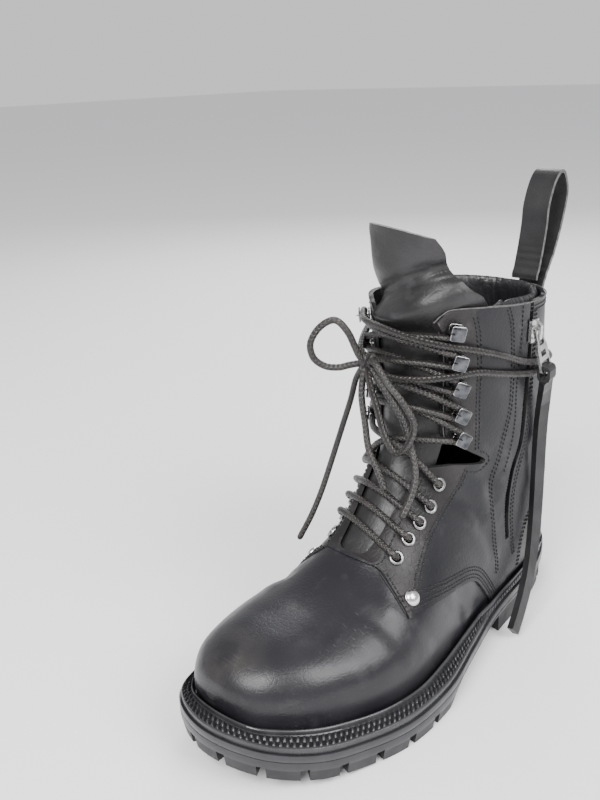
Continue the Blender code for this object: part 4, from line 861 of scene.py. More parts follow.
def net(rows, columns, close_columns=False, close_rows=False, start=0):
    """Faces of a grid of points."""
    faces = []
    for i in range(rows if close_rows else rows - 1):
        for j in range(columns if close_columns else columns - 1):
            after = (i + 1) % rows
            turn = (j + 1) % columns
            corner = start + i * columns
            low = start + after * columns
            faces.append((corner + j, corner + turn, low + turn, low + j))
    return faces


def loft(rings, closed=False):
    """Points and faces of a skin over a row of like rings, capped at its ends."""
    rings = np.asarray(rings)
    count, sides = rings.shape[:2]
    faces = net(count, sides, True, closed)
    if not closed:
        faces.append(tuple(range(sides))[::-1])
        faces.append(tuple(range((count - 1) * sides, count * sides)))
    return rings.reshape(-1, 3), faces


def bare(name, vertices, faces):
    """A working solid, not yet in the boot, with its faces turned out."""
    mesh = bpy.data.meshes.new(name)
    mesh.from_pydata(np.asarray(vertices).tolist(), [], faces)
    shape = bmesh.new()
    shape.from_mesh(mesh)
    bmesh.ops.remove_doubles(shape, verts=shape.verts, dist=1e-6)
    bmesh.ops.recalc_face_normals(shape, faces=shape.faces)
    shape.to_mesh(mesh)
    shape.free()
    return linked(name, mesh)


def carve(thing, other, way):
    """Boolean other into thing for good, and clear other away."""
    change = thing.modifiers.new("carve", "BOOLEAN")
    change.operation = way
    change.solver = "MANIFOLD"
    change.object = other
    bpy.context.view_layer.update()
    shown = thing.evaluated_get(bpy.context.evaluated_depsgraph_get())
    mesh = bpy.data.meshes.new_from_object(shown)
    thing.modifiers.clear()
    thing.data = mesh
    bpy.data.objects.remove(other, do_unlink=True)


def prism(name, outline, low, high):
    """A side outline in Y and Z, drawn out along X."""
    return bare(name, *loft([[(x, y, z) for y, z in outline] for x in (low, high)]))


def blocks(name, sizes, places):
    """Boxes that don't touch, as one working solid."""
    mesh = bpy.data.meshes.new(name)
    shape = bmesh.new()
    for size, place in zip(sizes, places):
        bmesh.ops.create_cube(shape, size=1.0, matrix=place @ Matrix.Diagonal((*size, 1.0)))
    shape.to_mesh(mesh)
    shape.free()
    return linked(name, mesh)


def shifted(thing):
    """A working solid's points taken from the boot's axes to the frame."""
    thing.data.transform(Matrix.Translation(Vector(SHIFT)))
    return thing


def tube(path, radius, sides=12, flat=1.0, out=None):
    """Points, faces and UVs of a round or flattened tube along a path."""
    path = np.asarray(path, float)
    ahead = np.gradient(path, axis=0)
    ahead /= np.linalg.norm(ahead, axis=1, keepdims=True)
    side = np.cross(ahead[0], (0.3, 0.5, 0.8) if out is None else out)
    side /= np.linalg.norm(side)
    angle = np.linspace(0.0, 2.0 * math.pi, sides, endpoint=False)
    radius = np.broadcast_to(radius, len(path))
    along = np.r_[0.0, np.cumsum(np.linalg.norm(np.diff(path, axis=0), axis=1))]
    rings = []
    uvs = []
    for i, spot in enumerate(path):
        if out is None:
            side = side - ahead[i] * np.dot(side, ahead[i])
        else:
            side = np.cross(ahead[i], out)
        side /= np.linalg.norm(side)
        up = np.cross(side, ahead[i])
        rings.append(spot + radius[i] * (np.cos(angle)[:, None] * side
                                         + flat * np.sin(angle)[:, None] * up))
        uvs.append(np.stack([np.full(sides, along[i] / STRAND), STRANDS * angle], axis=1))
    vertices, faces = loft(rings)
    return vertices, faces, np.array(uvs).reshape(-1, 2)


def rope(name, path, nodes=(), radius=CORD / 2.0):
    """A braided cord along a smooth path, with round ends."""
    path = np.asarray(path, float)
    size = np.full(len(path), radius)
    size[0] = size[-1] = radius * 0.55
    size[1] = size[-2] = radius * 0.92
    vertices, faces, uvs = tube(path, size)
    return add(name, vertices, faces, [LACE], nodes=nodes, uvs=uvs, angle=60.0)


# Camera, light and floor. The camera's place, axes and lens are those that the photo was
# fitted with: focal length and drop in pixels of a picture 800 high.
VIEW_FROM = np.array([0.28162, -0.36837, 0.33880])
VIEW_RIGHT = (0.7275, 0.6851, -0.0371)
VIEW_UP = (-0.2171, 0.2812, 0.9348)
VIEW_BACK = (0.6508, -0.6720, 0.3533)
PICTURE_HIGH = 800.0
FOCAL = 863.74
DROP = -3.13
SENSOR = 36.0
FLOOR = 12.0
LIT_SPOT = (0.0, 0.0, 0.10)
LIGHTS = [
    # name, place, size, power
    ("key", (0.35, -1.15, 1.25), 0.9, 42.0),
    ("side", (1.15, 0.10, 1.15), 0.9, 26.0),
    ("rim", (-0.75, 0.95, 0.85), 0.6, 9.0),
]


def make_camera():
    """The photo's own camera: place, aim, roll and lens."""
    data = bpy.data.cameras.new("camera")
    data.sensor_width = SENSOR
    data.lens = FOCAL / PICTURE_HIGH * SENSOR
    data.shift_y = DROP / PICTURE_HIGH
    data.clip_start = 0.01
    camera = linked("camera", data)
    turn = Matrix((VIEW_RIGHT, VIEW_UP, VIEW_BACK)).transposed().to_4x4()
    camera.matrix_world = Matrix.Translation(Vector(VIEW_FROM + SHIFT)) @ turn
    bpy.context.scene.camera = camera


def make_light(name, place, aim, size, power):
    """A square soft light."""
    data = bpy.data.lights.new(name, "AREA")
    data.shape = "SQUARE"
    data.size = size
    data.energy = power
    way = Vector(aim) - Vector(place)
    turn = way.to_track_quat("-Z", "Y").to_matrix().to_4x4()
    linked(name, data).matrix_world = Matrix.Translation(Vector(place)) @ turn


def make_stage():
    """Pale floor and sky, with soft lights in front, on the outer side and behind."""
    world = bpy.data.worlds.new("studio")
    world.use_nodes = True
    nodes = world.node_tree.nodes
    links = world.node_tree.links
    parts = nodes.new("ShaderNodeSeparateXYZ")
    links.new(nodes.new("ShaderNodeTexCoord").outputs["Generated"], parts.inputs["Vector"])
    ramp = nodes.new("ShaderNodeValToRGB")
    links.new(parts.outputs["Z"], ramp.inputs["Fac"])
    low, high = ramp.color_ramp.elements
    low.position = 0.08
    low.color = (0.96, 0.96, 0.97, 1.0)
    high.position = 0.55
    high.color = (0.84, 0.84, 0.86, 1.0)
    links.new(ramp.outputs["Color"], nodes["Background"].inputs["Color"])
    nodes["Background"].inputs["Strength"].default_value = 0.86
    bpy.context.scene.world = world
    mesh = bpy.data.meshes.new("floor")
    corners = [(x * FLOOR, y * FLOOR, 0) for x, y in ((-1, -1), (1, -1), (1, 1), (-1, 1))]
    mesh.from_pydata(corners, [], [(0, 1, 2, 3)])
    paper = bpy.data.materials.new("pale_floor")
    paper.use_nodes = True
    shader = paper.node_tree.nodes["Principled BSDF"]
    shader.inputs["Base Color"].default_value = (0.90, 0.90, 0.91, 1.0)
    shader.inputs["Roughness"].default_value = 0.75
    mesh.materials.append(paper)
    linked("floor", mesh)
    for name, place, size, power in LIGHTS:
        make_light(name, place, LIT_SPOT, size, power)


# The leather's form: soft creases and a slight unevenness, pressed into the skin itself.
CREASES = [
    # side, half width, depth, places
    (1, 0.0050, 0.0010, [(-0.205, 0.235), (-0.195, 0.170), (-0.190, 0.100)]),
    (1, 0.0045, 0.0008, [(-0.180, 0.220), (-0.168, 0.150), (-0.160, 0.085)]),
    (1, 0.0060, 0.0010, [(-0.010, 0.170), (0.020, 0.100), (0.040, 0.030)]),
    (1, 0.0050, 0.0012, [(0.045, 0.430), (0.090, 0.370), (0.120, 0.290)]),
    (1, 0.0060, 0.0013, [(0.120, 0.470), (0.150, 0.410), (0.165, 0.320)]),
    (1, 0.0045, 0.0009, [(0.085, 0.300), (0.125, 0.230), (0.140, 0.150)]),
    (1, 0.0060, 0.0010, [(0.265, 0.470), (0.310, 0.420), (0.370, 0.410)]),
    (1, 0.0050, 0.0009, [(0.270, 0.400), (0.320, 0.350), (0.380, 0.340)]),
    (-1, 0.0055, 0.0011, [(-0.205, 0.235), (-0.190, 0.165), (-0.180, 0.090)]),
    (-1, 0.0060, 0.0012, [(0.050, 0.440), (0.110, 0.380), (0.160, 0.330)]),
    (-1, 0.0060, 0.0012, [(0.130, 0.480), (0.200, 0.430), (0.280, 0.430)]),
    (-1, 0.0055, 0.0010, [(0.270, 0.390), (0.330, 0.350), (0.390, 0.350)]),
    (-1, 0.0060, 0.0009, [(-0.020, 0.200), (0.020, 0.120), (0.050, 0.040)]),
]


def press_creases():
    """Troughs with soft ridges beside them, and a slow unevenness, in the fine skin."""
    depth = np.zeros(SKIN.shape[:2])
    for side, wide, deep, places in CREASES:
        line = [read_grid(SKIN, *find(place, side)) for place in places]
        line = smooth_line(line, 40)
        part = np.linspace(0.0, 1.0, len(line))
        away = np.full(SKIN.shape[:2], 9.0)
        fade = np.zeros(SKIN.shape[:2])
        for spot, share in zip(line, part):
            gap = np.linalg.norm(SKIN - spot, axis=2)
            nearer = gap < away
            away = np.where(nearer, gap, away)
            fade = np.where(nearer, math.sin(math.pi * share) ** 0.6, fade)
        trough = np.exp(-((away / wide) ** 2))
        ridge = np.exp(-(((away - 1.9 * wide) / wide) ** 2))
        depth += fade * deep * (0.45 * ridge - trough)
    for i in range(SKIN.shape[0]):
        for j in range(SKIN.shape[1]):
            spot = Vector(SKIN[i, j])
            depth[i, j] += 0.0004 * noise.noise(spot * 24.0) + 0.00016 * noise.noise(spot * 70.0)
    SKIN[:] = SKIN + NORMAL * depth[..., None]


def skin_rings(top, grow, step=1):
    """The fine skin from the toe to a row, moved out."""
    return (SKIN + NORMAL * grow)[: top + 1 : step, ::step]


def near_line(spots, outline):
    """Distance from places in the side view to a line."""
    line = spread(outline, 400)
    away = np.full(len(spots), 9.0)
    for point in line:
        away = np.minimum(away, np.hypot(spots[:, 0] - point[0], spots[:, 1] - point[1]))
    return away


def side_line(places, count=60):
    """A smooth line in the side view through places given as shares, in metres."""
    return smooth_line([from_side(place) for place in places], count)


def throat_line():
    """The cut edge of the throat and the collar."""
    parts = [side_line(FACING_EDGE, 30), side_line(ANKLE_NOTCH, 24), side_line(SHAFT_EDGE, 24),
             side_line(COLLAR_EDGE, 40)]
    return np.vstack(parts)


def quarter_front():
    """The quarters' short front edge, from the facing down to their lower edge."""
    return side_line(FACING_EDGE[:1] + QUARTER_FRONT[::-1] + QUARTER_EDGE[:1], 16)


def inside_outline(spots, outline):
    """Which places in the side view lie within a closed outline."""
    outline = np.asarray(outline)
    after = np.roll(outline, -1, axis=0)
    inside = np.zeros(len(spots), bool)
    for (y0, z0), (y1, z1) in zip(outline, after):
        if z0 == z1:
            continue
        crosses = (z0 > spots[:, 1]) != (z1 > spots[:, 1])
        where = (y1 - y0) * (spots[:, 1] - z0) / (z1 - z0) + y0
        inside ^= crosses & (spots[:, 0] < where)
    return inside


def cut_upper():
    """The hollow leather wall, cut as the CAD piece is."""
    wide = 0.2
    upper = bare("upper_leather", *loft(skin_rings(OVER_COLLAR, 0.0)))
    front = quarter_front()[1:-1]
    lower = side_line(QUARTER_EDGE, 60)
    crown = [(wide, -0.05), (wide, 0.30), (-0.10, 0.30), (-0.12, 0.12)]
    layer = bare("quarter_layer", *loft(skin_rings(OVER_COLLAR - 1, QUARTER)))
    carve(layer, prism("panel", [*lower, *crown, *front], -wide, wide), "INTERSECT")
    carve(upper, layer, "UNION")
    zip_line = side_line(ZIP_LINE, 60)
    layer = bare("flap_layer", *loft(skin_rings(OVER_COLLAR - 2, QUARTER + FLAP)))
    low = side_line(QUARTER_EDGE[:-1], 60)
    outline = [*low, *zip_line[::-1], (-0.10, 0.30), (-0.12, 0.12), *front]
    carve(layer, prism("panel", outline, 0.0, wide), "INTERSECT")
    carve(upper, layer, "UNION")
    carve(upper, bare("inside", *loft(skin_rings(OVER_COLLAR + 2, -WALL, 2))), "DIFFERENCE")
    length = np.linspace(-wide, wide, 81)
    ground = [(y, float(sole_top(y)) - WELT) for y in length] + [(wide, -0.1), (-wide, -0.1)]
    carve(upper, prism("ground", ground, -wide, wide), "DIFFERENCE")
    ahead = [from_side(spot) for spot in ((-0.19, 0.46), (-0.150, 0.335))]
    above = [from_side(spot) for spot in ((0.60, 1.6), (-0.30, 1.6))]
    carve(upper, prism("throat", [*ahead, *throat_line(), *above], -wide, wide), "DIFFERENCE")
    section = [(across * SLOT / 2.0, grow * SLOT_DEEP)
               for across, grow in ((-1, -1), (1, -1), (1, 1), (-1, 1))]
    slot = zip_rings(zip_places(ZIP_FOOT, 1.03, 30), section)
    carve(upper, bare("slot", *loft(slot)), "DIFFERENCE")
    shape = bmesh.new()
    for side in (1, -1):
        for place in EYELETS:
            bmesh.ops.create_cone(
                shape, cap_ends=True, segments=20, radius1=EYELET_HOLE, radius2=EYELET_HOLE,
                depth=0.012, matrix=frame_at(place, side, 0.0),
            )
    mesh = bpy.data.meshes.new("holes")
    shape.to_mesh(mesh)
    shape.free()
    carve(upper, linked("holes", mesh), "DIFFERENCE")
    return upper


def make_upper():
    """The leather wall, finished panel by panel: each face's panel is found by its place."""
    finishes = [LEATHER, QUARTERS, FACING, LINING, RAW_EDGE_AND_HIGHLIGHT, PAINTED_SHADOW_LINE]
    quarter, facing, inside, cut, shadow = range(1, len(finishes))
    upper = cut_upper()
    centre = face_values(upper.data, "center")
    normal = face_values(upper.data, "normal")
    flat = centre[:, 1:]
    index = np.zeros(len(flat), int)
    lower = side_line(QUARTER_EDGE, 60)
    back = [from_side(spot) for spot in ((0.6, 0.0), (0.6, 1.2), (-0.12, 1.2), FACING_EDGE[0])]
    index[inside_outline(flat, [*lower, *back, *quarter_front()])] = quarter
    rear = [QUARTER_EDGE[0], *FACING_SEAM, *HOOK_SEAM[:-1]]
    panel = [from_side(spot) for spot in (*rear, (0.081, 1.02), (-0.05, 1.1), (-0.2, 0.4))]
    index[inside_outline(flat, panel) & (index == quarter)] = facing
    axis = np.array([SKIN[i].mean(axis=0) for i in range(0, len(SKIN), 4)])
    nearest = np.argmin(np.linalg.norm(centre[:, None] - axis[None], axis=2), axis=1)
    inward = ((centre - axis[nearest]) * normal).sum(axis=1) < 0.0
    index[inward] = inside
    across = np.abs(normal[:, 0])
    # The throat's and collar's cut faces take the raw edge finish, its light grey partly a painted
    # highlight.
    index[(near_line(flat, throat_line()) < 0.00025) & (across < 0.75) & ~inward] = cut
    # A thin strip of faces along the quarters' lower and front edges gets painted shadow.
    edge = np.minimum(near_line(flat, lower), near_line(flat, quarter_front())) < 0.00012
    index[edge & ~inward & (across < 0.8)] = shadow
    for line, count in ((FACING_EDGE, 30), (ANKLE_NOTCH, 24), (SHAFT_EDGE, 24)):
        index[(index == cut) & (near_line(flat, side_line(line, count)) < 0.0003)] = facing
    shifted(upper)
    dress(upper, finishes, index, 38.0, ["upper"])


def zip_places(low, high, count):
    """Middle of the zip from high to low, as shares from the side."""
    line = through(ZIP_LINE, np.linspace(0.0, len(ZIP_LINE) - 1.0, 400))
    up = np.linspace(high, low, count)
    shift = (SLOT / 2.0 + 0.0004) / LENGTH
    order = np.argsort(line[:, 1])
    return [(float(np.interp(z, line[order, 1], line[order, 0])) + shift, float(z)) for z in up]


def zip_rings(path, section):
    """Rings of a section along the zip: rows of the section are (across, grow)."""
    spots = [find(place, 1) for place in path]
    centre = np.array([point_at(ring, roll)[0] for ring, roll in spots])
    ahead = np.gradient(centre, axis=0)
    rings = []
    for i, (ring, roll) in enumerate(spots):
        out = point_at(ring, roll)[1]
        across = np.cross(ahead[i], out)
        across /= np.linalg.norm(across)
        corners = []
        for distance, grow in section:
            target = centre[i] + across * distance
            share = target[1] / LENGTH
            level = (target[2] - float(sole_top(target[1]))) / UPPER_HEIGHT
            corners.append(point_at(*find((share, level), 1), grow)[0])
        rings.append(corners)
    return rings


def on_skin(line, side, level):
    """A side-view line in metres, as points on a flank over the skin, and the ways out."""
    spots = []
    outs = []
    for y, z in line:
        place = (y / LENGTH, (z - float(sole_top(y))) / UPPER_HEIGHT)
        spot, out = point_at(*find(place, side), level)
        spots.append(spot)
        outs.append(out)
    return np.array(spots), np.array(outs)


def beside(line, distance):
    """A side-view line moved sideways."""
    line = np.asarray(line)
    ahead = np.gradient(line, axis=0)
    ahead /= np.linalg.norm(ahead, axis=1, keepdims=True)
    return line + np.stack([-ahead[:, 1], ahead[:, 0]], axis=1) * distance


# Stitches: from one to the next, length, radius of the thread, and along one stitch how thick
# it is and how far it stands over the leather.
PITCH = 0.0027
STITCH = 0.0021
THREAD_SIZE = 0.00046
STITCH_TAPER = np.array([0.5, 0.95, 1.0, 0.95, 0.5])
STITCH_RISE = np.array([-0.00022, 0.00008, 0.00018, 0.00008, -0.00022])

# The painted shadow line, a dark tube where a layer's edge meets the one under it: radius, and
# height over the skin.
SHADOW = 0.00055
SHADOW_LEVEL = 0.0002


def stitches(name, lines):
    """Rows of thread stitches: lines are (side-view line, side, level)."""
    vertices = []
    faces = []
    for line, side, level in lines:
        spots, outs = on_skin(spread(line, 40), side, level)
        length = np.r_[0.0, np.cumsum(np.linalg.norm(np.diff(spots, axis=0), axis=1))]
        for start in np.arange(0.0006, length[-1] - STITCH, PITCH):
            run = np.linspace(start, start + STITCH, 5)
            path = np.stack([np.interp(run, length, column) for column in spots.T], axis=1)
            out = np.array([np.interp(start, length, column) for column in outs.T])
            path = path + out * STITCH_RISE[:, None]
            part, sides, _ = tube(path, THREAD_SIZE * STITCH_TAPER, 6)
            gather(vertices, faces, part, sides)
    add(name, vertices, faces, [THREAD], angle=60.0)


# Seams, each with rows of stitches at some distances beside it.
SEAMS = [
    # flank or 0 for both, whether it lies on the facing's layer, distances, places, count
    (0, True, (0.0020, 0.0038, 0.0062, 0.0080), QUARTER_EDGE[:-1], 60),
    (0, True, (-0.0022,), FACING_EDGE, 40),
    (0, True, (-0.0020,), SHAFT_EDGE, 40),
    (0, True, (0.0, -0.0022), FACING_SEAM, 40),
    (0, True, (0.0, -0.0022), HOOK_SEAM, 40),
    (0, True, (0.0,), NOTCH_SEAM, 20),
    (0, True, (0.0, 0.0024), PLACKET_SEAM, 60),
    (0, False, (-0.0030, -0.0052), COLLAR_EDGE[2:], 40),
    (1, True, (0.0,), ZIP_FRONT_SEAM, 40),
    (1, False, (0.0, 0.0024), ZIP_BACK_SEAM, 50),
    (0, False, (0.0, 0.0024), COUNTER_SEAM, 40),
    (-1, False, (0.0, 0.0024), CUFF_SEAM, 40),
]


def make_stitches():
    """Rows of stitches beside the seams of both flanks."""
    for side, flank in FLANKS:
        rows = [(beside(quarter_front(), 0.0020)[3:-3], side, skin_level(side))]
        for only, on_facing, distances, places, count in SEAMS:
            if only in (0, side):
                line = side_line(places, count)
                level = skin_level(side) if on_facing else QUARTER
                rows += [(beside(line, distance), side, level) for distance in distances]
        stitches(f"stitches_{flank}", rows)


def make_edge_lines():
    """Thin light lines of painted highlight on the cut edges, dark lines of painted shadow under a
    layer.
    """
    for side, flank in FLANKS:
        lines = {
            "collar": (side_line(COLLAR_EDGE[:-1], 120), skin_level(side), 0.0004, RAW_EDGE_AND_HIGHLIGHT),
            "shaft": (side_line(SHAFT_EDGE, 60), skin_level(side), 0.00032, RAW_EDGE_AND_HIGHLIGHT),
            # The quarters' two lines are painted shadow lines along their edges.
            "quarter": (side_line(QUARTER_EDGE[:-1], 160), SHADOW_LEVEL, SHADOW, PAINTED_SHADOW_LINE),
            "quarter_front": (quarter_front()[3:-1], SHADOW_LEVEL, SHADOW, PAINTED_SHADOW_LINE),
        }
        for name, (line, level, radius, material) in lines.items():
            spots, outs = on_skin(line, side, level)
            vertices, faces, _ = tube(spots, radius, 6)
            add(f"edge_{name}_{flank}", vertices, faces, [material], angle=80.0)


def rise(value, start, reach):
    """0 up to start, 1 from start plus reach."""
    return min(1.0, max(0.0, (value - start) / reach))


def tongue_folds(spot):
    """How far the tongue's face moves out at a spot, and how far down.

    Small folds all over, a fat fold with a valley over it that runs up across the tongue, fine
    wrinkles in the valley, and a top edge that falls to the outer side.
    """
    fold = noise.noise(Vector((spot.x * 26.0, spot.y * 20.0, spot.z * 60.0)))
    above = spot.z - (0.209 + 0.48 * (spot.x + 0.026))
    bulge = 0.0058 * math.exp(-((above + 0.011) / 0.011) ** 2)
    valley = 0.0050 * math.exp(-((above - 0.005) / 0.008) ** 2)
    fine = noise.noise(Vector((spot.x * 90.0, spot.y * 60.0, above * 420.0)))
    fine *= 0.0010 * math.exp(-((above - 0.001) / 0.010) ** 2)
    small = 0.0009 * rise(spot.z, 0.150, 0.04) * fold
    out = small - 0.0001 + rise(spot.z, 0.199, 0.008) * (bulge - valley + fine)
    down = (0.0095 * rise(spot.x, -0.026, 0.052) - 0.0008) * rise(spot.z, 0.230, 0.024)
    return out, down


def make_tongue():
    """The tongue's sheet: soft wrinkles, and a flare that twists forward over the laces."""
    columns = 9
    parts = [2.0 * j / (columns - 1) - 1.0 for j in range(columns)]
    outer = -WALL - GAP - 0.0010
    base = []
    outs = []
    for _, ring, half_width in TONGUE_LOW:
        rolls = [walk(ring * STEP, half_width * part) for part in parts]
        base.append([point_at(ring * STEP, roll, outer)[0] for roll in rolls])
        outs.append([point_at(ring * STEP, roll)[1] for roll in rolls])
    top_ring = 20.0 * STEP
    for _, height, half_width, back, inner_forward in TONGUE_HIGH:
        row = []
        ways = []
        for part in parts:
            roll = walk(top_ring, half_width * part)
            spot, out = point_at(top_ring, roll, outer)
            below = point_at(top_ring - 5.0, roll, outer)[0]
            up = (spot - below) / np.linalg.norm(spot - below)
            spot = spot + up * height
            spot[1] += back - inner_forward * max(0.0, -part)
            row.append(spot)
            ways.append(out)
        base.append(row)
        outs.append(ways)
    tall = 150
    wide = 56
    count = len(base)
    places = np.linspace(0.0, count - 1.0, tall)
    front = through(np.array(base), places).reshape(tall, columns, 3)
    way = through(np.array(outs), places).reshape(tall, columns, 3)
    across = np.linspace(0.0, columns - 1.0, wide)
    front = np.array([through(row, across) for row in front])
    way = np.array([through(row, across) for row in way])
    way /= np.linalg.norm(way, axis=2, keepdims=True)
    for i in range(tall):
        for j in range(wide):
            out, down = tongue_folds(Vector(front[i, j]))
            front[i, j, 2] -= down
            front[i, j] += way[i, j] * out
    rim_soft = np.minimum(np.arange(wide), np.arange(wide)[::-1])
    half = TONGUE / 2.0 * np.clip(rim_soft / 1.5, 0.45, 1.0)
    middle = front - way * (TONGUE / 2.0)
    face = middle + way * half[None, :, None]
    rear = middle - way * half[None, :, None]
    vertices = np.vstack([face.reshape(-1, 3), rear.reshape(-1, 3)])
    faces = net(tall, wide)
    back = tall * wide
    faces += [tuple(back + k for k in square[::-1]) for square in net(tall, wide)]
    rim = list(range(wide))
    rim += [i * wide + wide - 1 for i in range(1, tall)]
    rim += [(tall - 1) * wide + j for j in range(wide - 2, -1, -1)]
    rim += [i * wide for i in range(tall - 2, 0, -1)]
    index = [0] * len(faces)
    for here, after in zip(rim, rim[1:] + rim[:1]):
        faces.append((here, after, back + after, back + here))
        index.append(1)
    add("tongue_leather", vertices, faces, [TONGUE_SKIN, RAW_EDGE_AND_HIGHLIGHT], index, 50.0, ["tongue"])


def make_collar():
    """The padded roll inside the collar, gathered in small wrinkles."""
    start = walk(18.0 * STEP, PAD_GAP)
    end = walk(18.0 * STEP, -PAD_GAP) + FINE
    rings = []
    edge = np.array([from_side(place) for place in COLLAR_EDGE])
    rolls = np.linspace(start, end, 220)
    for number, roll in enumerate(rolls):
        column = np.array([read_grid(SKIN, ring, roll) for ring in range(PAD_START, PAD_END)])
        over = column[:, 2] - np.interp(column[:, 1], edge[:, 0], edge[:, 1])
        top = column[int(np.argmin(np.abs(over))), 2]
        ring = []
        share = number / (len(rolls) - 1.0)
        close = min(1.0, 6.0 * min(share, 1.0 - share) + 0.5)
        sink = 0.007 * max(0.0, 1.0 - 9.0 * min(share, 1.0 - share)) ** 1.5
        for step in range(24):
            angle = 2.0 * math.pi * step / 24.0
            tall = (PAD_HIGH + PAD_LOW) / 2.0
            height = top + (PAD_HIGH - PAD_LOW) / 2.0 + tall * math.cos(angle) - sink
            grow = -PAD_OUT - PAD_THICK / 2.0 * (1.0 + math.sin(angle) * close)
            place = PAD_START + float(np.interp(height, column[:, 2], np.arange(len(column))))
            spot, out = point_at(place, roll, grow)
            turn = (roll * 0.55, math.cos(angle) * 1.1, math.sin(angle) * 1.3)
            crinkle = noise.noise(Vector(turn)) * (1.0 if math.cos(angle) > -0.5 else 0.3)
            ring.append(spot + out * 0.0007 * crinkle)
        rings.append(ring)
    vertices, faces = loft(rings)
    pad = add("collar_padding", vertices, faces, [PADDING], angle=70.0, nodes=["collar_pad"])


def strap(path, width, thickness, out, name, finishes, nodes, waves):
    """A flat strap with rounded edges along a path; its width runs along out."""
    path = np.asarray(path)
    ahead = np.gradient(path, axis=0)
    ahead /= np.linalg.norm(ahead, axis=1, keepdims=True)
    half = width / 2.0
    thick = thickness / 2.0
    count = 13
    section = []
    for across in np.linspace(-1.0, 1.0, count):
        section.append((across * (half - 0.3 * thick), thick))
    section += [(half, 0.55 * thick), (half + 0.0001, 0.0), (half, -0.55 * thick)]
    for across in np.linspace(1.0, -1.0, count):
        section.append((across * (half - 0.3 * thick), -thick))
    section += [(-half, -0.55 * thick), (-half - 0.0001, 0.0), (-half, 0.55 * thick)]
    rings = []
    for i, (spot, way) in enumerate(zip(path, ahead)):
        side = np.array(out) - way * np.dot(out, way)
        side /= np.linalg.norm(side)
        face = np.cross(side, way)
        low = max(0.0, 1.0 - (spot[2] - path[:, 2].min()) / 0.050)
        ripple = waves * low * noise.noise(Vector((i * 0.8, 0.3, 0.7)))
        rings.append([spot + side * a + face * (b + ripple) for a, b in section])
    vertices, faces = loft(rings)
    sides = len(section)
    index = [1 if count - 1 <= k % sides < count + 3 or k % sides >= sides - 3 else 0
             for k in range(len(faces))]
    add(name, vertices, faces, finishes, index, 50.0, nodes)


def make_pull_loop():
    """The tall pull loop: a folded strap, wrinkled low down."""
    path = smooth_line([(LOOP_BACK * LENGTH + y, COLLAR + z) for y, z in LOOP_LINE], 150)
    points = np.stack([np.full(len(path), LOOP_X), path[:, 0], path[:, 1]], axis=1)
    strap(points, LOOP_WIDTH, LOOP_STRAP, (1.0, 0.0, 0.0), "pull_loop_strap", [STRAP, RAW_EDGE_AND_HIGHLIGHT],
          ["pull_loop"], waves=0.0016)


def lathe(profile, place, steps=28):
    """Points and faces of a closed profile of radius and height turned about Z."""
    angle = np.linspace(0.0, 2.0 * math.pi, steps, endpoint=False)
    vertices = []
    for turn in angle:
        for radius, height in profile:
            spot = place @ Vector((radius * math.cos(turn), radius * math.sin(turn), height))
            vertices.append(tuple(spot))
    return vertices, net(steps, len(profile), True, True)


def make_rings():
    """Nickel eyelets with a rolled rim, and the dome rivets."""
    tube_size = EYELET_BORE + EYELET_TUBE
    for side, flank in FLANKS:
        deep = GAP + skin_level(side) + WALL - 0.0001
        roll = [(EYELET_BORE, -deep), (EYELET_BORE, -0.0002)]
        middle = (EYELET_BORE + EYELET_RIM) / 2.0
        wide = (EYELET_RIM - EYELET_BORE) / 2.0
        for step in range(11):
            angle = math.pi * (1.0 - step / 10.0)
            height = 0.0001 + EYELET_RIM_HIGH * math.sin(angle) ** 0.8
            roll.append((middle + wide * math.cos(angle), height))
        roll += [(EYELET_RIM, 0.0), (tube_size, 0.0), (tube_size, -deep)]
        for number, place in enumerate(EYELETS, 1):
            spot = frame_at(place, side, skin_level(side) + GAP)
            vertices, faces = lathe(roll, spot)
            add(f"eyelet_ring_{flank}_{number}", vertices, faces, [AGED_NICKEL], angle=50.0,
                nodes=[f"eyelet_{flank}_{number}"])
        dome = [(0.0, RIVET_HIGH)]
        for angle in np.linspace(8.0, 80.0, 9):
            reach = math.radians(angle)
            dome.append((RIVET * math.sin(reach), RIVET_HIGH * math.cos(reach)))
        dome += [(RIVET * 1.02, 0.0004), (RIVET * 1.02, 0.0), (0.0, 0.0)]
        spot = frame_at(RIVET_AT, side, skin_level(side) + GAP)
        vertices, faces = lathe(dome, spot)
        add(f"rivet_dome_{flank}", vertices, faces, [NICKEL], angle=50.0, nodes=[f"rivet_{flank}"])


def rounded_square(half, corner, count=5):
    """An outline of a square with round corners."""
    points = []
    for x, y, start in ((1, 1, 0.0), (-1, 1, 90.0), (-1, -1, 180.0), (1, -1, 270.0)):
        for step in range(count):
            angle = math.radians(start + 90.0 * step / (count - 1))
            points.append((x * (half - corner) + corner * math.cos(angle),
                           y * (half - corner) + corner * math.sin(angle)))
    return points


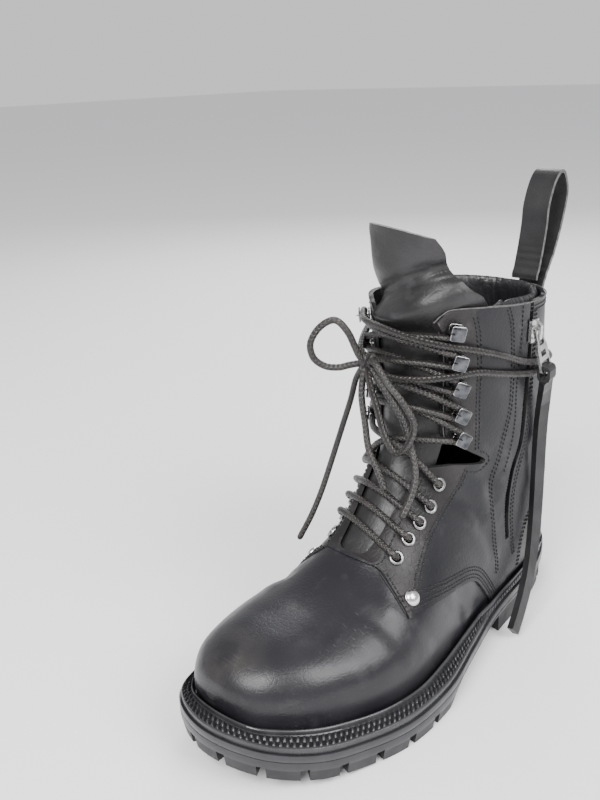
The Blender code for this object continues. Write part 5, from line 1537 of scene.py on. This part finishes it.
def make_hooks():
    """Speed hooks: a plate over the lace, a narrow neck on the throat's side, a base."""
    half = HOOK_PLATE / 2.0
    sheet = HOOK_SHEET
    top = sheet + HOOK_THROAT
    for side, flank in FLANKS:
        for number, place in enumerate(HOOKS, 1):
            spot = frame_at(place, side, skin_level(side) + GAP)
            vertices = []
            faces = []
            index = []
            plates = [
                (rounded_square(half, HOOK_CORNER), top, top + sheet, 0.0003),
                (rounded_square(half * HOOK_BASE, HOOK_BASE_CORNER), 0.0, sheet, 0.0002),
            ]
            for outline, low, high, soft in plates:
                rings = []
                for shrink, height in ((soft, low), (0.0, low + soft), (0.0, high - soft),
                                       (soft, high), (half * 0.45, high + 0.00012)):
                    rings.append([(x * (1.0 - shrink / half), y * (1.0 - shrink / half), height)
                                  for x, y in outline])
                gather(vertices, faces, *loft(rings))
                count = len(outline)
                index += [1] * (3 * count) + [0] * (count + 2)
            neck = []
            for step in range(9):
                angle = math.pi * (0.5 + step / 8.0)
                x = -half + HOOK_BEND + HOOK_BEND * math.cos(angle)
                z = (top + sheet) / 2.0 + (top / 2.0) * math.sin(angle)
                neck.append((x, 0.0, z))
            part, sides, _ = tube(neck, HOOK_NECK / 2.0, 10, 0.2, (0.0, 1.0, 0.0))
            gather(vertices, faces, part, sides)
            index += [0] * len(sides)
            placed = [tuple(spot @ Vector(vertex)) for vertex in vertices]
            add(f"speed_hook_{flank}_{number}", placed, faces, [GUNMETAL, AGED_NICKEL], index, 40.0,
                nodes=[f"hook_{flank}_{number}"])


def along_skin(rows, count):
    """A smooth path through (ring, roll, height over the last's skin) rows."""
    fine = through(rows, np.linspace(0.0, len(rows) - 1.0, 12 * len(rows)))
    points = [point_at(ring, roll, height)[0] for ring, roll, height in fine]
    return spread(np.array(points), count)


def by_place(place, side, across, along, height):
    """Ring, roll and height of a spot beside a place: across from the front, along upwards."""
    ring, roll = find(place, side)
    step = np.linalg.norm(read_grid(SKIN, ring + 0.5, roll) - read_grid(SKIN, ring - 0.5, roll))
    ring += along / step
    return (ring, moved(ring, roll, across), skin_level(side) + height)


def middle_spot(first, second, part, height):
    """A spot over the tongue between two rows."""
    ring = first[0] + (second[0] - first[0]) * part
    roll = first[1] + (second[1] - first[1]) * part
    return (ring, roll, -WALL - GAP + CORD / 2.0 + 0.0004 + height)


def strand(first_place, first_side, second_place, second_side, first_kind, second_kind, over):
    """Rows of one crossing, from a fitting on one flank to one on the other."""
    rows = []
    for place, side, kind, start in ((first_place, first_side, first_kind, True),
                                     (second_place, second_side, second_kind, False)):
        if kind == "eyelet":
            part = [
                by_place(place, side, 0.0, 0.0, -0.0035),
                by_place(place, side, -0.0004, 0.0, 0.0014),
                by_place(place, side, -0.0040, 0.0, 0.0034),
            ]
        else:
            up = 1.0 if start else -1.0
            part = [
                by_place(place, side, -0.0009, 0.0, 0.0034),
                by_place(place, side, -0.0022, up * 0.0034, 0.0034),
                by_place(place, side, -0.0062, up * 0.0042, 0.0028),
            ]
        rows.append(part)
    first = rows[0]
    second = rows[1][::-1]
    a = first[-1]
    b = second[0]
    return first + [
        middle_spot(a, b, 0.22, 0.0010 + over * 0.5), middle_spot(a, b, 0.5, over),
        middle_spot(a, b, 0.78, 0.0010 + over * 0.5),
    ] + second


def make_laces():
    """Bars and crossings through eyelets and round hooks, two turns, a bow and its ends."""
    for row in range(4):
        way = strand(EYELETS[row], 1, EYELETS[row + 1], -1, "eyelet", "eyelet", 0.0)
        rope(f"lace_rung_{row + 1}", along_skin(way, 90), [f"lace_bar_{row + 1}"])
    rows = [EYELETS[4]] + HOOKS
    for row in range(5):
        kind = "eyelet" if row == 0 else "hook"
        for side, word in ((1, "rising"), (-1, "falling")):
            over = 0.0042 if (side > 0) == (row % 2 == 0) else 0.0
            way = strand(rows[row], side, rows[row + 1], -side, kind, "hook", over)
            nodes = [f"lace_cross_{row + 1}"] if side > 0 else ()
            rope(f"lace_{word}_{row + 1}", along_skin(way, 90), nodes)
    for number, turn in enumerate((TURN_1, TURN_2), 1):
        rows = []
        for side, along, up, lift in turn:
            ring, roll = find((along, up), side)
            behind = bool(rows) and rows[-1][1] > FINE / 4.0
            level = skin_level(side) + GAP + CORD / 2.0 + 0.0003 + lift
            rows.append((ring, roll + FINE if side < 0 and behind else roll, level))
        path = along_skin(rows, 120)[4:]
        over = point_at(*find(WRAP_OVER[number - 1], -1), 0.0098)[0]
        start = hook_neck(HOOKS[4], -1) if number == 1 else [KNOT_AT]
        rope(f"lace_wrap_{number}", smooth_line([*start, *path[::6], over, KNOT_AT], 300),
             [f"lace_turn_{number}"])
    make_bow()


def hook_neck(place, side):
    """Where a lace leaves the neck of a hook, upwards and to the front."""
    rows = [by_place(place, side, -0.0009, 0.0, 0.0034),
            by_place(place, side, -0.0024, 0.0032, 0.0036)]
    return [point_at(*row)[0] for row in rows]


def make_bow():
    """The knot as a tight wrap of lace, with its loops and ends."""
    centre = np.array(KNOT_AT)
    path = []
    for step in np.linspace(0.0, 1.0, 90):
        turn = 2.0 * math.pi * KNOT_TURNS * step
        path.append(centre + np.array([
            0.0034 * (2.0 * step - 1.0) + 0.0012 * math.sin(turn),
            -0.0032 * math.cos(turn) * 0.85 - 0.0005,
            0.0038 * math.sin(turn) + 0.0012 * (2.0 * step - 1.0),
        ]))
    rope("lace_knot_wrap", path, ["lace_knot"], radius=KNOT_CORD / 2.0)
    plans = [
        ("lace_bow_loop_out", LOOP_OUT, "lace_loop_out", CORD / 2.0, "object", 160),
        ("lace_bow_loop_down", LOOP_DOWN, "lace_loop_down", CORD / 2.0, "object", 160),
        ("lace_tail_near", END_NEAR, "lace_end_near", CORD / 2.0, "bare", 120),
        ("lace_tail_middle", END_MIDDLE, "lace_end_middle", CORD / 2.0, "bare", 110),
        ("lace_tail_far", END_FAR, "lace_end_far", FAR_CORD / 2.0, "bare", 140),
    ]
    for name, points, node, radius, far, count in plans:
        points = [KNOT_AT, *points, KNOT_AT] if far == "object" else [KNOT_AT, *points]
        path = smooth_line(points, count)
        piece = rope(name, path, [node], radius)


# Faces of a box with its lower four corners first.
BOX_SIDES = ((0, 3, 2, 1), (4, 5, 6, 7), (0, 1, 5, 4), (1, 2, 6, 5), (2, 3, 7, 6), (3, 0, 4, 7))


def make_zip():
    """The tape, and its teeth one by one. Slider, tab and strap are the CAD's own."""
    top = -WALL - GAP - 0.0004
    section = [(x, top - TAPE_SHEET) for x in np.linspace(-TAPE_WIDE, TAPE_WIDE, 9)]
    section += [(x, top) for x in np.linspace(TAPE_WIDE, -TAPE_WIDE, 9)]
    vertices, faces = loft(zip_rings(zip_places(ZIP_FOOT + 0.012, ZIP_TOP, 60), section))
    add("zip_tape_strip", vertices, faces, [TAPE], nodes=["zip_tape"])
    places = zip_places(ZIP_FOOT + 0.02, ZIP_TOP - 0.01, 150)
    vertices = []
    faces = []
    for number, place in enumerate(places):
        spot = frame_at(place, 1, top + 0.0008)
        reach = TOOTH_REACH if number % 2 else -TOOTH_REACH
        corners = []
        for z in (-0.0006, -0.0006 + TOOTH[2]):
            for x, y in ((-1, -1), (1, -1), (1, 1), (-1, 1)):
                corner = (x * TOOTH[0] / 2.0 + reach, y * TOOTH[1] / 2.0, z)
                corners.append(tuple(spot @ Vector(corner)))
        gather(vertices, faces, corners, BOX_SIDES)
    add("zip_teeth", vertices, faces, [GUNMETAL])


def soften(node, material, width=0.0003, segments=2, angle=35.0):
    """A CAD node kept as it is, with rounded edges and its finish."""
    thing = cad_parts[node]
    thing.data.materials.clear()
    thing.data.materials.append(material)
    change = thing.modifiers.new("round_edges", "BEVEL")
    change.width = width
    change.segments = segments
    change.limit_method = "ANGLE"
    change.angle_limit = math.radians(angle)
    change.use_clamp_overlap = True


def slab(name, levels, across=10):
    """A working solid between outlines at heights, top level first."""
    count = len(levels[0][0])
    half = count // 2
    vertices = []
    faces = []
    rims = []
    for number, (ring, height) in enumerate(levels):
        start = len(vertices)
        if number in (0, len(levels) - 1):
            for i in range(half + 1):
                left = ring[i]
                right = ring[-i % count]
                for j in range(across + 1):
                    x, y = left + (right - left) * j / across
                    vertices.append((x, y, height(y)))
            for i in range(half):
                for j in range(across):
                    corner = start + i * (across + 1) + j
                    faces.append((corner, corner + 1, corner + across + 2, corner + across + 1))
            rim = [start + i * (across + 1) for i in range(half + 1)]
            rim += [start + i * (across + 1) + across for i in range(half - 1, 0, -1)]
        else:
            vertices.extend((x, y, height(y)) for x, y in ring)
            rim = list(range(start, start + count))
        rims.append(rim)
    for upper, lower in zip(rims, rims[1:]):
        for i in range(count):
            after = (i + 1) % count
            faces.append((upper[i], upper[after], lower[after], lower[i]))
    return bare(name, vertices, faces)


def groove_blocks(name, low, high, pitch):
    """The lugs' grooves, square to the sole's edge, as in the CAD."""
    fine = sole_outline(600)
    length = np.linalg.norm(np.roll(fine, -1, axis=0) - fine, axis=1).sum()
    count = int(round(length / pitch))
    forefoot = low < 0.0
    sizes = []
    places = []
    for i in range(count):
        index = int((i + 0.5) * len(fine) / count)
        x, y = fine[index]
        if not low * LENGTH < y < high * LENGTH:
            continue
        along = fine[(index + 2) % len(fine)] - fine[index - 2]
        turn = math.atan2(along[1], along[0])
        top = tread(y) + LUG if forefoot else HEEL_BLOCK * 0.62
        sizes.append((LUG_GROOVE, 2.0 * LUG_DEPTH if forefoot else LUG_DEPTH, CUTTER))
        place = Matrix.Translation((x, y, top - CUTTER / 2.0))
        places.append(place @ Matrix.Rotation(turn, 4, "Z"))
    return blocks(name, sizes, places)


def by_height(thing, split):
    """Material index of each face: 1 above the height that split gives at its Y."""
    return [1 if z > split(y) else 0 for _, y, z in face_values(thing.data, "center")]


def make_sole():
    """Outsole, heel, midsole, insole and the storm welt with its knurled edge."""
    outline = sole_outline(260)
    bulged = widened(outline, BULGE)
    nearly = widened(outline, BULGE * 0.9)

    def under_top(y):
        """Just under the outsole's top, where the band is full."""
        return outsole_top(y) - 0.0003

    def over_band(y):
        """Just over the band's lower edge."""
        return outsole_band(y) + 0.0006

    levels = [(nearly, outsole_top), (bulged, under_top), (bulged, over_band),
              (nearly, outsole_band), (outline, outsole_foot)]
    outsole = slab("outsole_rubber", levels)
    carve(outsole, groove_blocks("grooves", -0.51, -0.12, LUG_PITCH), "DIFFERENCE")
    sizes = []
    places = []
    for share in MIDDLE_GROOVES:
        y = share * LENGTH
        sizes.append((MIDDLE_GROOVE, LUG_GROOVE, CUTTER))
        places.append(Matrix.Translation((0.0, y, tread(y) + LUG - CUTTER / 2.0)))
    carve(outsole, blocks("middle_grooves", sizes, places), "DIFFERENCE")
    index = by_height(outsole, outsole_band)
    shifted(outsole)
    dress(outsole, [RUBBER, BAND], index, 32.0, ["outsole"])
    edge = [(nearly, midsole_top), (bulged, lambda y: midsole_top(y) - 0.0003),
            (bulged, lambda y: midsole_foot(y) + 0.0003), (nearly, midsole_foot)]
    midsole = slab("midsole_rubber", edge, 4)
    shifted(midsole)
    dress(midsole, [BAND], None, 32.0, ["midsole"])
    fine = sole_outline(500)
    rear = widened(fine, -0.0002)[fine[:, 1] > BREAST]
    rear = rear[np.argsort(np.arctan2(rear[:, 0], rear[:, 1] - BREAST))]
    rear = spread(rear, 150)
    breast = [(x, BREAST + 0.006 * (1.0 - (x / 0.045) ** 2))
              for x in np.linspace(-0.030, 0.030, 15)]
    ring = np.vstack([rear, breast[::-1]])
    rings = [[(x, y, z) for x, y in ring] for z in (0.0, HEEL_BLOCK)]
    heel = bare("heel_rubber", *loft(rings))
    carve(heel, groove_blocks("grooves", 0.20, 0.51, HEEL_LUG_PITCH), "DIFFERENCE")
    shifted(heel)
    dress(heel, [RUBBER], None, 32.0, ["heel"])
    make_welt()
    soften("insole", BOARD)


# The welt's ledge: from one knurl to the next along the sole's edge, a knurl's height, the
# channel's depth, and the smooth strips inside and outside the knurls.
KNURL_PITCH = 0.0034
KNURL_HIGH = 0.0015
CHANNEL = 0.0008
INNER_STRIP = 0.0005
OUTER_STRIP = 0.0014


def make_welt():
    """A ledge round the upper: bead, two rows of knurls, a smooth rim."""
    count = 1560
    outline = sole_outline(count)
    away = GAP + 0.0009
    foot = widened(upper_foot(WELT, count), away)
    rim = widened(upper_foot(0.0, count), away)
    bead = widened(upper_foot(-BEAD_HIGH, count), away)
    length = np.linalg.norm(np.roll(outline, -1, axis=0) - outline, axis=1).sum()
    teeth = int(round(length / KNURL_PITCH))
    rings = []
    for i in range(count):
        out = outline[i] - rim[i]
        ledge = np.linalg.norm(out)
        out = out / ledge
        section = [(*foot[i], float(sole_top(foot[i][1])) - WELT)]
        for angle in np.linspace(0.0, 1.0, 7):
            turn = math.pi * angle
            middle = rim[i] + (bead[i] - rim[i]) * math.sin(turn) * 0.6
            reach = middle + out * BEAD_WIDE * (1.0 - math.cos(turn)) / 2.0
            height = BEAD_HIGH * 0.9 * math.sin(turn) ** 0.7
            section.append((*reach, float(sole_top(rim[i][1])) + height))
        start = BEAD_WIDE + INNER_STRIP
        left = max(ledge - start - OUTER_STRIP, 0.001)
        for row, (low, high) in enumerate(((0.01, 0.49), (0.51, 0.99))):
            phase = 2.0 * math.pi * (i * teeth / count + 0.5 * row)
            knob = max(0.0, 0.35 + 0.75 * math.cos(phase)) ** 0.6
            for part in np.linspace(0.0, 1.0, 6):
                place = rim[i] + out * (start + left * (low + (high - low) * part))
                height = KNURL_HIGH * knob * math.sin(math.pi * part) ** 0.5 - CHANNEL
                section.append((*place, float(sole_top(place[1])) + height))
        for inward, drop in ((0.0013, 0.0), (0.0006, -0.0001), (0.0001, -0.0005), (0.0, -0.0010)):
            place = outline[i] - out * inward
            section.append((*place, float(sole_top(place[1])) + drop))
        section.append((*outline[i], float(sole_top(outline[i][1])) - WELT))
        rings.append(section)
    rings = np.array(rings)
    vertices, faces = loft(rings, closed=True)
    sides = rings.shape[1]
    # Faces low in the knurl rows take the darker RUBBER as painted shade in the channels; the rest
    # take the lighter welt rubber as painted highlight.
    high = rings[:, :, 2] - np.array([[float(sole_top(y)) for y in ring[:, 1]] for ring in rings])
    index = [1 if 8 <= k % sides < 19 and high[k // sides, k % sides] < 0.00005 else 0
             for k in range(len(faces))]
    add("storm_welt", vertices, faces, [LIT_WELT_RUBBER, RUBBER], index, 40.0, ["welt"])


press_creases()
make_camera()
make_stage()
make_laces()
make_upper()
make_stitches()
make_edge_lines()
make_tongue()
make_collar()
make_pull_loop()
make_rings()
make_hooks()
make_sole()
make_zip()
soften("zip_slider", NICKEL, 0.0003)
soften("zip_pull", NICKEL, 0.0003)
soften("zip_strap", STRAP, 0.0006, 3)
